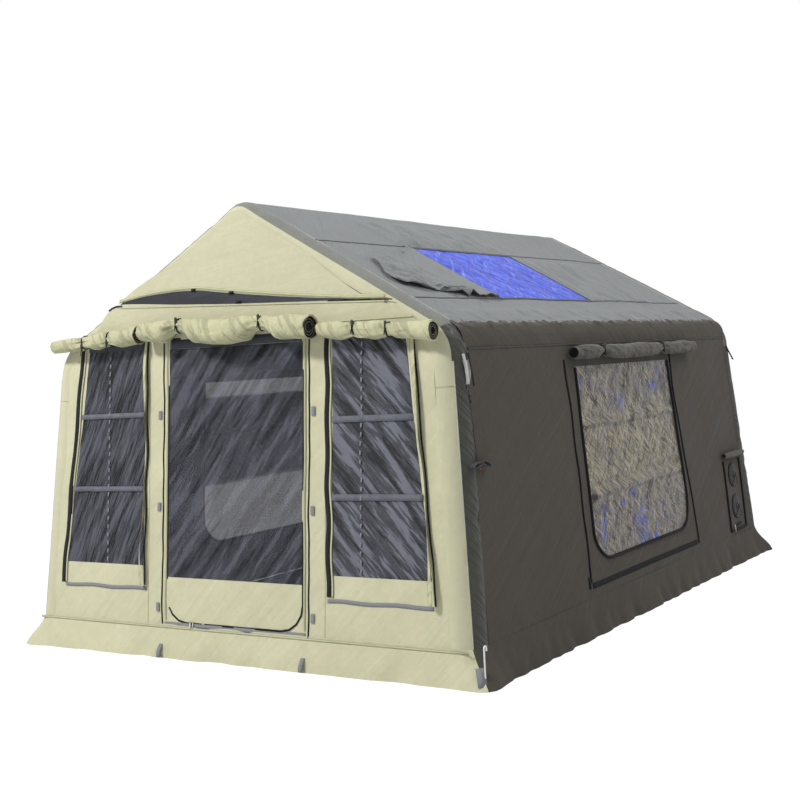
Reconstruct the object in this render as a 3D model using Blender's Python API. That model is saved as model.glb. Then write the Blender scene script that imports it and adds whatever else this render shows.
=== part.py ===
"""Inflatable house-shaped tent: two air arches joined by three long air tubes, dressed in sewn
fabric panels with a mesh door, mesh windows, film windows, a skylight, rolled covers, a mud
skirt and guy fittings.

The front faces -Y, +X is the right-hand side seen from the front and +Z is up. The origin is
on the ground, in the middle of the base. Metres throughout.
"""

import math

import bmesh
import bpy
from mathutils import Vector

# Overall sizes of the outer envelope, measured to the outer faces of the air arches
FOOT_WIDTH = 2.86
FOOT_LENGTH = 4.24
EAVE_WIDTH = 2.626
EAVE_HEIGHT = 1.645
RIDGE_LENGTH = 3.80
RIDGE_HEIGHT = 2.40
SKIRT_HEIGHT = 0.16
SIDE_FLARE = 0.07
END_FLARE = 0.03

# Materials' thicknesses and the clearance between touching pieces
GAP = 0.0003
WELD = 0.000003
SHARP_ANGLE = math.radians(40)
FABRIC = 0.002
BLADDER = 0.0006
MESH = 0.001
FILM = 0.0012
OVERRUN = 0.02

# Air frame
ARCH_RADIUS = 0.10
ARCH_BEND = 0.14
RIDGE_BEND = 0.16
LONG_TUBE_RADIUS = 0.098
LONG_TUBE_WALL = 0.001
TUBE_SIDES = 16
BEND_STEPS = 4
SADDLE_DEPTH = 0.04
PORT_RADIUS = 0.025
PANEL_INSET = 0.003

# Inflation valve, on the cabin side of the rear right column
VALVE_HEIGHT = 0.36
VALVE_FLANGE_RADIUS = 0.030
VALVE_FLANGE = 0.004
VALVE_BARREL_RADIUS = 0.018
VALVE_BARREL = 0.028
VALVE_BORE_RADIUS = 0.013
VALVE_SEAT = 0.006
VALVE_STEM_RADIUS = 0.0045
VALVE_STEM_HEAD = 0.009
VALVE_STEM_LENGTH = 0.020
VALVE_CAP_WALL = 0.003
VALVE_CAP_DEPTH = 0.014
VALVE_SIDES = 20

# Front wall: door, side windows and the vent slit under the gable
DOOR_WIDTH = 0.89
DOOR_TOP = 1.63
DOOR_BOTTOM = 0.19
DOOR_CORNER = 0.13
DOOR_KICK_TOP = 0.42
FRONT_SEAM = 0.59
WINDOW_INNER = 0.625
WINDOW_FOOT_MARGIN = 0.105
WINDOW_TOP_MARGIN = 0.165
WINDOW_BOTTOM = 0.474
WINDOW_TOP = 1.64
SLIT_LOW = 1.835
SLIT_HIGH = 1.915
SLIT_END_HEIGHT = 1.852
SLIT_END_GAP = 0.006
SLIT_STEPS = 8
HEADER_SEAM = 1.70
EDGE_INSET = 0.05
VENT_LAP = 0.02
ZIP_TAPE = 0.010
ZIP_THICKNESS = 0.0015
SLIDER_LENGTH = 0.024
SLIDER_WIDTH = 0.012
SLIDER_THICKNESS = 0.006
SLIDER_PLACE = -0.28

# Side walls: film windows and the cable and duct ports
WALL_TOP = 1.555
SIDE_WINDOW_FRONT = -0.70
SIDE_WINDOW_REAR = 0.88
SIDE_WINDOW_TOP = 1.425
SIDE_WINDOW_BOTTOM = 0.35
SIDE_WINDOW_CORNER = 0.20
PORT_PANEL_FRONT = 1.53
PORT_PANEL_REAR = 1.86
PORT_PANEL_TOP = 0.70
PORT_PANEL_BOTTOM = 0.20
PORT_PANEL_CORNER = 0.03
DUCT_RADIUS = 0.085
DUCT_UPPER = 0.585
DUCT_LOWER = 0.365
DUCT_SHOULDER_RADIUS = 0.057
DUCT_HUB_RADIUS = 0.012
DUCT_RISE = 0.022
DUCT_PLEATS = 16
DUCT_PLEAT_DEPTH = 0.006

# Rear wall window
REAR_WINDOW_WIDTH = 1.10
REAR_WINDOW_TOP = 1.50
REAR_WINDOW_BOTTOM = 0.70
REAR_WINDOW_CORNER = 0.12

# Roof: seams, skylight and its cover flap
ROOF_SEAM = 0.43
SKYLIGHT_UPPER = 0.445
SKYLIGHT_LOWER = 1.005
SKYLIGHT_FRONT = -0.90
SKYLIGHT_REAR = 0.30
FLAP_REACH = 0.84
FLAP_HINGE_GAP = 0.012
FLAP_FOLDS = 4
FLAP_LOW = 0.010
FLAP_HIGH = 0.034
FLAP_ROWS = 9
FLAP_COLUMNS = 13

# Ground parts
SKIRT_CORNER = 0.13
SKIRT_TOP_CORNER = 0.092
GROUND_SHEET_MARGIN = 0.012
CORNER_STEPS = 3
PEG_RADIUS = 0.004
PEG_HEIGHT = 0.205
PEG_HOOK_RADIUS = 0.011
PEG_HOOK_DROP = 0.014
PEG_INSET = 0.016
PEG_STEPS = 8
PEG_LOOP_WIDTH = 0.050
PEG_LOOP_TIP_WIDTH = 0.030
PEG_LOOP_THICKNESS = 0.003
PEG_LOOP_HEIGHT = 0.022
PEG_CLEARANCE = 0.001

# Rolled covers: length from and to, seam height, largest radius
DOOR_ROLL_LEFT = -0.585
DOOR_ROLL_RIGHT = 0.545
DOOR_ROLL_SEAM = 1.785
DOOR_ROLL_RADIUS = 0.066
SIDE_ROLL_GAP = 0.035
SIDE_ROLL_LENGTH = 0.66
SIDE_ROLL_SEAM = 1.755
SIDE_ROLL_RADIUS = 0.050
WALL_ROLL_FRONT = -0.78
WALL_ROLL_REAR = 1.12
WALL_ROLL_SEAM = 1.545
WALL_ROLL_RADIUS = 0.052
PORT_ROLL_FRONT = 1.50
PORT_ROLL_REAR = 1.90
PORT_ROLL_SEAM = 0.752
PORT_ROLL_RADIUS = 0.022
ROLL_SIDES = 12
TIE_WIDTH = 0.018
TIE_THICKNESS = 0.0015
# Place along the roll, radius and sag below the seam line, as shares of length and radius
DOOR_ROLL_SHARES = (
    (0.00, 0.62, 0.00), (0.06, 0.70, 0.02), (0.14, 0.84, 0.02), (0.22, 0.60, -0.20),
    (0.26, 0.60, -0.20), (0.34, 0.86, 0.04), (0.44, 1.00, 0.12), (0.52, 1.00, 0.12),
    (0.62, 0.88, 0.04), (0.71, 0.60, -0.20), (0.75, 0.60, -0.20), (0.84, 0.84, 0.02),
    (0.94, 0.74, 0.04), (1.00, 0.66, 0.04),
)
SIDE_ROLL_SHARES = (
    (0.00, 0.72, 0.00), (0.08, 0.86, 0.04), (0.20, 0.98, 0.10), (0.32, 0.84, 0.02),
    (0.38, 0.82, 0.00), (0.50, 0.96, 0.08), (0.62, 1.00, 0.10), (0.74, 0.88, 0.04),
    (0.86, 0.84, 0.00), (1.00, 0.76, 0.00),
)
WALL_ROLL_SHARES = (
    (0.00, 0.70, 0.00), (0.06, 0.84, 0.02), (0.16, 0.80, -0.04), (0.20, 0.66, -0.12),
    (0.24, 0.80, -0.04), (0.40, 1.00, 0.08), (0.52, 1.00, 0.08), (0.64, 0.86, 0.00),
    (0.69, 0.64, -0.12), (0.74, 0.84, 0.00), (0.88, 0.92, 0.04), (1.00, 0.72, 0.00),
)
PORT_ROLL_SHARES = ((0.00, 0.80, 0.00), (0.35, 1.00, 0.04), (0.70, 0.92, 0.04), (1.00, 0.76, 0.00))
DOOR_TIE_SHARES = (0.24, 0.73)

# Guy fittings
STRAP_WIDTH = 0.030
STRAP_THICKNESS = 0.002
STRAP_DROP = 0.155
STRAP_LENGTH = 0.10
STRAP_LEAN = 0.035
GUY_TAB_SPREAD = 0.07
GUY_TAB_DROP = 0.15
GUY_TAB_LENGTH = 0.115
BUCKLE_WIDTH = 0.034
BUCKLE_HEIGHT = 0.026
BUCKLE_THICKNESS = 0.005
BUCKLE_SLOT_WIDTH = 0.022
BUCKLE_SLOT_HEIGHT = 0.006
BUCKLE_SLOT_CORNER = 0.002
ROPE_RADIUS = 0.002
ROPE_DROP = 0.335
ROPE_STANDOFF = 0.0045
ROPE_STEP = 0.009
HANK_LOOPS = 6
HANK_LOOP_POINTS = 24
HANK_NEAR_POINTS = 8
HANK_HALF_LENGTH = 0.080
HANK_HALF_HEIGHT = 0.019
HANK_WAIST_HALF_HEIGHT = 0.007
HANK_PITCH = 0.0049
HANK_DROOP = 0.018
HOOK_RADIUS = 0.0022
HOOK_BEND = 0.008
HOOK_SHANK = 0.022
HOOK_TURN = math.radians(252)

# Slopes and offsets worked out from the sizes above
BASE_WIDTH = FOOT_WIDTH + 2 * SIDE_FLARE
BASE_LENGTH = FOOT_LENGTH + 2 * END_FLARE
SIDE_LEAN = (FOOT_WIDTH - EAVE_WIDTH) / 2 / (EAVE_HEIGHT - SKIRT_HEIGHT)
END_LEAN = (FOOT_LENGTH - RIDGE_LENGTH) / 2 / (RIDGE_HEIGHT - SKIRT_HEIGHT)
ROOF_SLOPE = (RIDGE_HEIGHT - EAVE_HEIGHT) / (EAVE_WIDTH / 2)
SIDE_STRETCH = math.hypot(1, SIDE_LEAN)
END_STRETCH = math.hypot(1, END_LEAN)
ROOF_STRETCH = math.hypot(1, ROOF_SLOPE)
LONG_TUBE_OFFSET = PANEL_INSET + FABRIC + GAP + ARCH_RADIUS
COLUMN_FOOT = FABRIC + GAP
STRAP_HEIGHT = EAVE_HEIGHT - STRAP_DROP
GUY_TAB_HEIGHT = EAVE_HEIGHT - GUY_TAB_DROP
FRONT_FACE = -GAP - FABRIC
CUTTER_RADIUS = ARCH_RADIUS + GAP / math.cos(math.pi / TUBE_SIDES)

COLOURS = {
    "khaki_fabric": (0.60, 0.58, 0.36, 0.85, 0.0),
    "grey_fabric": (0.17, 0.18, 0.17, 0.80, 0.0),
    "olive_fabric": (0.075, 0.065, 0.050, 0.80, 0.0),
    "insect_mesh": (0.055, 0.060, 0.080, 0.90, 0.0),
    "clear_film": (0.42, 0.38, 0.26, 0.15, 0.0),
    "blue_film": (0.03, 0.09, 0.75, 0.20, 0.0),
    "air_bladder": (0.30, 0.31, 0.30, 0.50, 0.0),
    "ground_fabric": (0.06, 0.06, 0.065, 0.75, 0.0),
    "black_trim": (0.012, 0.012, 0.014, 0.60, 0.0),
    "grey_webbing": (0.20, 0.20, 0.21, 0.85, 0.0),
    "white_metal": (0.75, 0.75, 0.73, 0.35, 0.6),
    "red_plastic": (0.45, 0.03, 0.02, 0.45, 0.0),
    "guy_cord": (0.035, 0.035, 0.045, 0.80, 0.0),
}


def material(name):
    """The finish of this name, made on first use."""
    found = bpy.data.materials.get(name)
    if found:
        return found
    red, green, blue, roughness, metallic = COLOURS[name]
    made = bpy.data.materials.new(name)
    made.use_nodes = True
    shader = made.node_tree.nodes["Principled BSDF"]
    shader.inputs["Base Color"].default_value = (red, green, blue, 1)
    shader.inputs["Roughness"].default_value = roughness
    shader.inputs["Metallic"].default_value = metallic
    return made


def finish(name, bm, finish_name, smooth=False):
    """Turns a bmesh into an object with outward faces and its material."""
    bmesh.ops.recalc_face_normals(bm, faces=bm.faces)
    mesh = bpy.data.meshes.new(name)
    bm.to_mesh(mesh)
    bm.free()
    mesh.materials.append(material(finish_name))
    if smooth:
        mesh.shade_smooth()
        mesh.set_sharp_from_angle(angle=SHARP_ANGLE)
    made = bpy.data.objects.new(name, mesh)
    bpy.context.scene.collection.objects.link(made)
    return made


def as_cutter(obj):
    obj.hide_render = True
    obj.display_type = "WIRE"
    return obj


def cut(obj, *cutters):
    """Takes each cutter's volume away from the object."""
    for cutter in cutters:
        boolean = obj.modifiers.new("cut", "BOOLEAN")
        boolean.operation = "DIFFERENCE"
        boolean.solver = "EXACT"
        boolean.object = cutter
    return obj


# The envelope: half sizes at a height, and corners at a distance inside it
def half_width(z):
    return FOOT_WIDTH / 2 - SIDE_LEAN * (z - SKIRT_HEIGHT)


def half_length(z):
    return FOOT_LENGTH / 2 - END_LEAN * (z - SKIRT_HEIGHT)


def slope_height(x, depth):
    return RIDGE_HEIGHT - ROOF_SLOPE * abs(x) - depth * ROOF_STRETCH


def wall_point(z, depth):
    return half_width(z) - depth * SIDE_STRETCH, z


def slope_point(x, depth):
    return x, slope_height(x, depth)


def ridge_corner(depth):
    return 0.0, RIDGE_HEIGHT - depth * ROOF_STRETCH


def eave_corner(depth):
    foot = half_width(0) - depth * SIDE_STRETCH
    crown = RIDGE_HEIGHT - depth * ROOF_STRETCH
    x = (foot - SIDE_LEAN * crown) / (1 - SIDE_LEAN * ROOF_SLOPE)
    return x, crown - ROOF_SLOPE * x


def rounded(before, corner, after, radius, steps=BEND_STEPS):
    """Points of the arc that rounds a corner, in the plane of the three points."""
    before, corner, after = Vector(before), Vector(corner), Vector(after)
    first = (before - corner).normalized()
    second = (after - corner).normalized()
    half_angle = first.angle(second) / 2
    reach = radius / math.tan(half_angle)
    centre = corner + (first + second).normalized() * (radius / math.sin(half_angle))
    start = corner + first * reach - centre
    end = corner + second * reach - centre
    total = start.angle(end)
    arc = []
    for step in range(steps + 1):
        turned = total * step / steps
        blend = (start * math.sin(total - turned) + end * math.sin(turned)) / math.sin(total)
        arc.append(tuple(centre + blend))
    return arc


def mirrored(points):
    return [(-x, z) for x, z in reversed(points)]


def eave_arc(depth, radius):
    return rounded(wall_point(0, depth), eave_corner(depth), ridge_corner(depth), radius)


def ridge_arc(depth, radius):
    right = eave_corner(depth)
    return rounded(right, ridge_corner(depth), (-right[0], right[1]), radius, BEND_STEPS + 1)


def arch_outline(depth, foot, eave_radius, ridge_radius):
    """The house shape from the right foot over the ridge to the left foot."""
    side = [wall_point(foot, depth), *eave_arc(depth, eave_radius)]
    return side + ridge_arc(depth, ridge_radius) + mirrored(side)


# Places on the four walls and the roof: two coordinates and a depth inside the envelope
def end_place(side):
    return lambda x, z, depth: Vector((x, side * (half_length(z) - depth * END_STRETCH), z))


def flank_place(side):
    return lambda y, z, depth: Vector((side * wall_point(z, depth)[0], y, z))


def roof_place(side):
    return lambda y, x, depth: Vector((side * x, y, slope_height(x, depth)))


FRONT, REAR = end_place(-1), end_place(1)
RIGHT, LEFT = flank_place(1), flank_place(-1)
ROOF_RIGHT = roof_place(1)


def panel(name, finish_name, place, outline, holes=(), outer=PANEL_INSET, thickness=FABRIC):
    """A flat sheet on a wall or the roof, with its holes."""
    bm = bmesh.new()
    edges = []
    for loop in (outline, *holes):
        verts = [bm.verts.new(place(a, b, outer)) for a, b in loop]
        edges += [bm.edges.new(pair) for pair in zip(verts, verts[1:] + verts[:1])]
    bmesh.ops.triangle_fill(bm, use_beauty=True, edges=edges)
    bmesh.ops.recalc_face_normals(bm, faces=bm.faces)
    front = list(bm.faces)
    a, b = outline[0]
    inward = place(a, b, outer + thickness) - place(a, b, outer)
    copy = bmesh.ops.duplicate(bm, geom=front)
    back = [item for item in copy["geom"] if isinstance(item, bmesh.types.BMFace)]
    bmesh.ops.reverse_faces(bm, faces=back)
    bmesh.ops.translate(bm, verts=list({v for face in back for v in face.verts}), vec=inward)
    wall_rims(bm, front, copy["vert_map"])
    return finish(name, bm, finish_name)


def wall_rims(bm, front, vert_map):
    """Joins the open edges of a sheet to those of its copy."""
    rims = [edge for face in front for edge in face.edges if edge.is_boundary]
    for edge in rims:
        a, b = edge.verts
        bm.faces.new((a, b, vert_map[b], vert_map[a]))


def grid_slab(name, finish_name, outer, inner, closed=False, smooth=False):
    """A shell between two grids of points; closed joins the first row to the last."""
    bm = bmesh.new()
    layers = [[[bm.verts.new(p) for p in row] for row in grid] for grid in (outer, inner)]
    rows, columns = len(outer), len(outer[0])
    spans = rows if closed else rows - 1
    for flip, layer in enumerate(layers):
        for i in range(spans):
            for j in range(columns - 1):
                low, high = layer[i], layer[(i + 1) % rows]
                corners = (low[j], low[j + 1], high[j + 1], high[j])
                bm.faces.new(corners[::-1] if flip else corners)
    near, far = layers
    for i in range(spans):
        for j in (0, columns - 1):
            k = (i + 1) % rows
            bm.faces.new((near[i][j], near[k][j], far[k][j], far[i][j]))
    if not closed:
        for i in (0, rows - 1):
            for j in range(columns - 1):
                bm.faces.new((near[i][j], near[i][j + 1], far[i][j + 1], far[i][j]))
    return finish(name, bm, finish_name, smooth)


def sweep_rings(path, radius, start, end, sides=TUBE_SIDES, across=(0, 1, 0), trim=0.0):
    """Rings of a tube along a path, mitred at each bend and cut by the start and end planes."""
    points = [Vector(point) for point in path]
    runs = [(b - a).normalized() for a, b in zip(points, points[1:])]
    middles = [(a + b).normalized() for a, b in zip(runs, runs[1:])]
    planes = [Vector(start), *middles, Vector(end)]
    points[0] = points[0] + runs[0] * trim / abs(runs[0].dot(planes[0].normalized()))
    points[-1] = points[-1] - runs[-1] * trim / abs(runs[-1].dot(planes[-1].normalized()))
    side = (Vector(across) - runs[0] * runs[0].dot(Vector(across))).normalized()
    other = runs[0].cross(side)
    angles = [2 * math.pi * k / sides for k in range(sides)]
    ring = [points[0] + radius * (side * math.cos(a) + other * math.sin(a)) for a in angles]
    rings = []
    for i, plane in enumerate(planes):
        run = runs[max(i - 1, 0)]
        ring = [q + run * ((points[i] - q).dot(plane) / run.dot(plane)) for q in ring]
        rings.append(ring)
    return rings


def add_skin(bm, rings, caps):
    """Side faces between rings, and end caps if asked; gives the rings' vertices."""
    loops = [[bm.verts.new(point) for point in ring] for ring in rings]
    for low, high in zip(loops, loops[1:]):
        for k in range(len(low)):
            n = (k + 1) % len(low)
            bm.faces.new((low[k], low[n], high[n], high[k]))
    if caps:
        bm.faces.new(loops[0][::-1])
        bm.faces.new(loops[-1])
    return loops


def solid_tube(name, finish_name, rings, smooth=True):
    bm = bmesh.new()
    add_skin(bm, rings, caps=True)
    return finish(name, bm, finish_name, smooth)


def hollow_tube(name, finish_name, outer, inner, sealed=False):
    """A tube with a wall; sealed closes both ends, and a hole is cut into it later."""
    bm = bmesh.new()
    outside = add_skin(bm, outer, caps=sealed)
    shell = list(bm.faces)
    inside = add_skin(bm, inner, caps=sealed)
    if not sealed:
        for i in (0, -1):
            for k in range(len(outside[i])):
                n = (k + 1) % len(outside[i])
                bm.faces.new((outside[i][k], outside[i][n], inside[i][n], inside[i][k]))
        return finish(name, bm, finish_name, smooth=True)
    bmesh.ops.recalc_face_normals(bm, faces=shell)
    lining = [face for face in bm.faces if face not in set(shell)]
    bmesh.ops.recalc_face_normals(bm, faces=lining)
    bmesh.ops.reverse_faces(bm, faces=lining)
    return finish_as_is(name, bm, finish_name)


def finish_as_is(name, bm, finish_name):
    """Like finish, for a bmesh whose faces already point the right way."""
    mesh = bpy.data.meshes.new(name)
    bm.to_mesh(mesh)
    bm.free()
    mesh.materials.append(material(finish_name))
    made = bpy.data.objects.new(name, mesh)
    bpy.context.scene.collection.objects.link(made)
    return made


def cylinder_between(name, start, end, radius, sides=TUBE_SIDES, across=(1, 0, 0)):
    axis = Vector(end) - Vector(start)
    rings = sweep_rings([start, end], radius, axis, axis, sides, across)
    return solid_tube(name, "black_trim", rings)


def turned(name, finish_name, centre, axis, profile, sides=VALVE_SIDES):
    """A turned solid: profile lists (distance along the axis, radius), from and to the axis."""
    axis = Vector(axis).normalized()
    first = axis.orthogonal().normalized()
    second = axis.cross(first)
    bm = bmesh.new()
    rows = []
    for along, radius in profile:
        base = Vector(centre) + axis * along
        if radius == 0:
            rows.append([bm.verts.new(base)])
            continue
        angles = [2 * math.pi * k / sides for k in range(sides)]
        rows.append([
            bm.verts.new(base + radius * (first * math.cos(a) + second * math.sin(a)))
            for a in angles
        ])
    for low, high in zip(rows, rows[1:]):
        if len(low) == len(high) == 1:
            continue
        for k in range(sides):
            n = (k + 1) % sides
            face = [low[k % len(low)], low[n % len(low)], high[n % len(high)], high[k % len(high)]]
            bm.faces.new([v for i, v in enumerate(face) if v not in face[:i]])
    bmesh.ops.remove_doubles(bm, verts=bm.verts, dist=WELD)
    return finish(name, bm, finish_name, smooth=True)


def rounded_box(low_a, high_a, low_b, high_b, corner, corners=(0, 1, 2, 3), steps=BEND_STEPS):
    """A rectangle outline whose numbered corners are rounded, from the low corner round."""
    square = [(low_a, low_b), (high_a, low_b), (high_a, high_b), (low_a, high_b)]
    outline = []
    for i, point in enumerate(square):
        if i in corners:
            outline += rounded(square[i - 1], point, square[(i + 1) % len(square)], corner, steps)
        else:
            outline.append(point)
    return outline


def arch_path(side, foot):
    place = end_place(side)
    outline = arch_outline(ARCH_RADIUS, foot, ARCH_BEND, RIDGE_BEND)
    return [place(x, z, ARCH_RADIUS) for x, z in outline]


def arch_rings(side, radius, foot=COLUMN_FOOT, trim=0.0):
    up = (0, 0, 1)
    return sweep_rings(arch_path(side, foot), radius, up, (0, 0, -1), trim=trim)


def long_tube_rings(x, z, radius):
    """Rings of a front-to-rear tube whose ends reach a little into the arches' sides."""
    depth = 2 * ARCH_RADIUS - SADDLE_DEPTH
    lean = Vector((0, 1, END_LEAN))
    ends = [FRONT(x, z, depth), REAR(x, z, depth)]
    return sweep_rings(ends, radius, lean * Vector((1, 1, -1)), lean, across=(1, 0, 0))


def build_frame():
    """Air arches with their bladders, the three long tubes and the inflation valve."""
    joints = {
        "ridge": ridge_corner(LONG_TUBE_OFFSET),
        "right_eave": eave_corner(LONG_TUBE_OFFSET),
        "left_eave": mirrored([eave_corner(LONG_TUBE_OFFSET)])[0],
    }
    sleeve_cutters = {}
    arches = []
    for side, name in ((-1, "front"), (1, "rear")):
        sleeve_inner = ARCH_RADIUS - FABRIC
        bladder_outer = sleeve_inner - GAP
        sleeve = hollow_tube(
            f"{name}_arch_sleeve", "khaki_fabric", arch_rings(side, ARCH_RADIUS),
            arch_rings(side, sleeve_inner, trim=FABRIC), sealed=True,
        )
        bladder = hollow_tube(
            f"{name}_arch_bladder", "air_bladder",
            arch_rings(side, bladder_outer, trim=FABRIC + GAP),
            arch_rings(side, bladder_outer - BLADDER, trim=FABRIC + GAP + BLADDER), sealed=True,
        )
        arches += [sleeve, bladder]
        sleeve_cutters[side] = as_cutter(
            solid_tube(f"{name}_arch_cutter", "black_trim", arch_rings(side, CUTTER_RADIUS, 0))
        )
        place = end_place(side)
        for joint, (x, z) in joints.items():
            port = as_cutter(cylinder_between(
                f"{name}_{joint}_port_cutter", place(x, z, ARCH_RADIUS),
                place(x, z, 2 * ARCH_RADIUS + OVERRUN), PORT_RADIUS,
            ))
            cut(sleeve, port)
            cut(bladder, port)
    for joint, (x, z) in joints.items():
        tube = hollow_tube(
            f"{joint}_air_tube", "air_bladder", long_tube_rings(x, z, LONG_TUBE_RADIUS),
            long_tube_rings(x, z, LONG_TUBE_RADIUS - LONG_TUBE_WALL),
        )
        cut(tube, *sleeve_cutters.values())
    build_valve(arches[2], arches[3])
    return sleeve_cutters


def build_valve(sleeve, bladder):
    """A flanged valve in the rear right column, with its stem and its cap."""
    x = wall_point(VALVE_HEIGHT, ARCH_RADIUS)[0]
    seat = REAR(x, VALVE_HEIGHT, 2 * ARCH_RADIUS + GAP)
    out = Vector((0, -1, -END_LEAN))
    bore = as_cutter(turned(
        "valve_bore_cutter", "black_trim", seat, out,
        [(-VALVE_BARREL - OVERRUN, 0), (-VALVE_BARREL - OVERRUN, VALVE_BARREL_RADIUS + GAP),
         (OVERRUN, VALVE_BARREL_RADIUS + GAP), (OVERRUN, 0)],
    ))
    cut(sleeve, bore)
    cut(bladder, bore)
    face = VALVE_FLANGE
    turned("valve_body", "black_trim", seat, out, [
        (-VALVE_BARREL, VALVE_BORE_RADIUS), (-VALVE_BARREL, VALVE_BARREL_RADIUS),
        (0, VALVE_BARREL_RADIUS), (0, VALVE_FLANGE_RADIUS), (face, VALVE_FLANGE_RADIUS),
        (face, VALVE_STEM_RADIUS + GAP), (face - VALVE_SEAT, VALVE_STEM_RADIUS + GAP),
        (face - VALVE_SEAT, VALVE_BORE_RADIUS), (-VALVE_BARREL, VALVE_BORE_RADIUS),
    ])
    back = face - VALVE_SEAT - GAP
    turned("valve_stem", "grey_webbing", seat, out, [
        (back - VALVE_FLANGE, 0), (back - VALVE_FLANGE, VALVE_STEM_HEAD), (back, VALVE_STEM_HEAD),
        (back, VALVE_STEM_RADIUS), (back - VALVE_FLANGE + VALVE_STEM_LENGTH, VALVE_STEM_RADIUS),
        (back - VALVE_FLANGE + VALVE_STEM_LENGTH, 0),
    ])
    rim = VALVE_FLANGE_RADIUS - VALVE_CAP_WALL
    top = face + GAP + VALVE_CAP_DEPTH
    turned("valve_cap", "black_trim", seat, out, [
        (face + GAP, rim - VALVE_CAP_WALL), (face + GAP, rim), (top + VALVE_CAP_WALL, rim),
        (top + VALVE_CAP_WALL, 0), (top, 0), (top, rim - VALVE_CAP_WALL),
        (face + GAP, rim - VALVE_CAP_WALL),
    ])


def rafter_x(z, depth):
    """Half width of the roof slope at a height, this far inside the envelope."""
    return (RIDGE_HEIGHT - depth * ROOF_STRETCH - z) / ROOF_SLOPE


def slit_points(middle, end):
    """Points from left to right along one edge of the vent slit, an arc between its ends."""
    half = rafter_x(end, EDGE_INSET)
    shares = [2 * k / SLIT_STEPS - 1 for k in range(SLIT_STEPS + 1)]
    return [(half * share, end + (middle - end) * (1 - share ** 2)) for share in shares]


def arch_line(low, high):
    """Points of the right half of the arch's centre line between two heights."""
    inside = arch_outline(ARCH_RADIUS, 0, ARCH_BEND, RIDGE_BEND)
    right = [(x, z) for x, z in inside if x > 0 and low < z < high]
    return [wall_point(low, ARCH_RADIUS), *right]


def window_outline():
    """The right-hand front window, whose outer edge leans in with the column beside it."""
    column = ARCH_RADIUS * SIDE_STRETCH
    return [
        (WINDOW_INNER, WINDOW_BOTTOM),
        (half_width(WINDOW_BOTTOM) - column - WINDOW_FOOT_MARGIN, WINDOW_BOTTOM),
        (half_width(WINDOW_TOP) - column - WINDOW_TOP_MARGIN, WINDOW_TOP),
        (WINDOW_INNER, WINDOW_TOP),
    ]


def inset(outline, gap=GAP):
    """The same outline, drawn in by a gap on every side."""
    count = len(outline)
    area = sum(outline[i - 1][0] * p[1] - p[0] * outline[i - 1][1] for i, p in enumerate(outline))
    turn = 1 if area > 0 else -1
    drawn = []
    for i, point in enumerate(outline):
        before = Vector(outline[i - 1])
        here = Vector(point)
        after = Vector(outline[(i + 1) % count])
        first = (here - before).normalized()
        second = (after - here).normalized()
        normal = Vector((-first.y - second.y, first.x + second.x)).normalized()
        spread = max(normal.dot(Vector((-first.y, first.x))), GAP)
        drawn.append(tuple(here + normal * (turn * gap / spread)))
    return drawn


def door_outline():
    half = DOOR_WIDTH / 2
    return rounded_box(-half, half, DOOR_BOTTOM, DOOR_TOP, DOOR_CORNER, corners=(0, 1))


def build_front(cutter):
    """The front wall's sewn panels, meshes, door leaf, zip and vent."""
    low, high = SKIRT_HEIGHT + GAP, HEADER_SEAM
    seam = FRONT_SEAM + GAP / 2
    side = [(seam, low), *arch_line(low, high), (rafter_x(high, ARCH_RADIUS), high), (seam, high)]
    window = window_outline()
    for name, turn in (("right", lambda points: points), ("left", mirrored)):
        cut(panel(f"front_{name}_panel", "khaki_fabric", FRONT, turn(side), [turn(window)]), cutter)
        panel(f"front_{name}_window_mesh", "insect_mesh", FRONT, inset(turn(window)), thickness=MESH)
    edge = FRONT_SEAM - GAP / 2
    surround = [(-edge, low), (edge, low), (edge, high), (-edge, high)]
    door = door_outline()
    panel("door_surround", "khaki_fabric", FRONT, surround, [door])
    build_door_leaf(door)
    build_zip(door)
    build_gable()


def build_door_leaf(door):
    """The mesh door leaf with its fabric kick panel, inside the D-shaped opening."""
    half = DOOR_WIDTH / 2 - GAP
    foot = [p for p in inset(door) if p[1] < DOOR_KICK_TOP]
    left = [p for p in foot if p[0] < 0]
    right = [p for p in foot if p[0] > 0]
    kick = [(-half, DOOR_KICK_TOP), *left, *right, (half, DOOR_KICK_TOP)]
    panel("door_kick_panel", "khaki_fabric", FRONT, kick)
    low, top = DOOR_KICK_TOP + GAP, DOOR_TOP - GAP
    mesh = [(-half, low), (half, low), (half, top), (-half, top)]
    panel("door_mesh", "insect_mesh", FRONT, mesh, thickness=MESH)


def build_gable():
    """Header, gable panel and vent mesh, in front of the arch, with the slit between them."""
    base = HEADER_SEAM - VENT_LAP
    foot = rafter_x(base, EDGE_INSET)
    header = [(-foot, base), (foot, base), *slit_points(SLIT_LOW, SLIT_END_HEIGHT)[::-1]]
    panel("front_header_panel", "khaki_fabric", FRONT, header, outer=FRONT_FACE)
    end = SLIT_END_HEIGHT + SLIT_END_GAP
    bend = RIDGE_BEND + ARCH_RADIUS - EDGE_INSET
    gable = [*slit_points(SLIT_HIGH, end), *ridge_arc(EDGE_INSET, bend)]
    panel("gable_panel", "khaki_fabric", FRONT, gable, outer=FRONT_FACE)
    low, high = SLIT_LOW - VENT_LAP, SLIT_HIGH + VENT_LAP
    inset_depth = ARCH_RADIUS + OVERRUN
    foot, top = rafter_x(low, inset_depth), rafter_x(high, inset_depth)
    vent = [(-foot, low), (foot, low), (top, high), (-top, high)]
    panel("gable_vent_mesh", "insect_mesh", FRONT, vent, outer=0, thickness=MESH)


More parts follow.
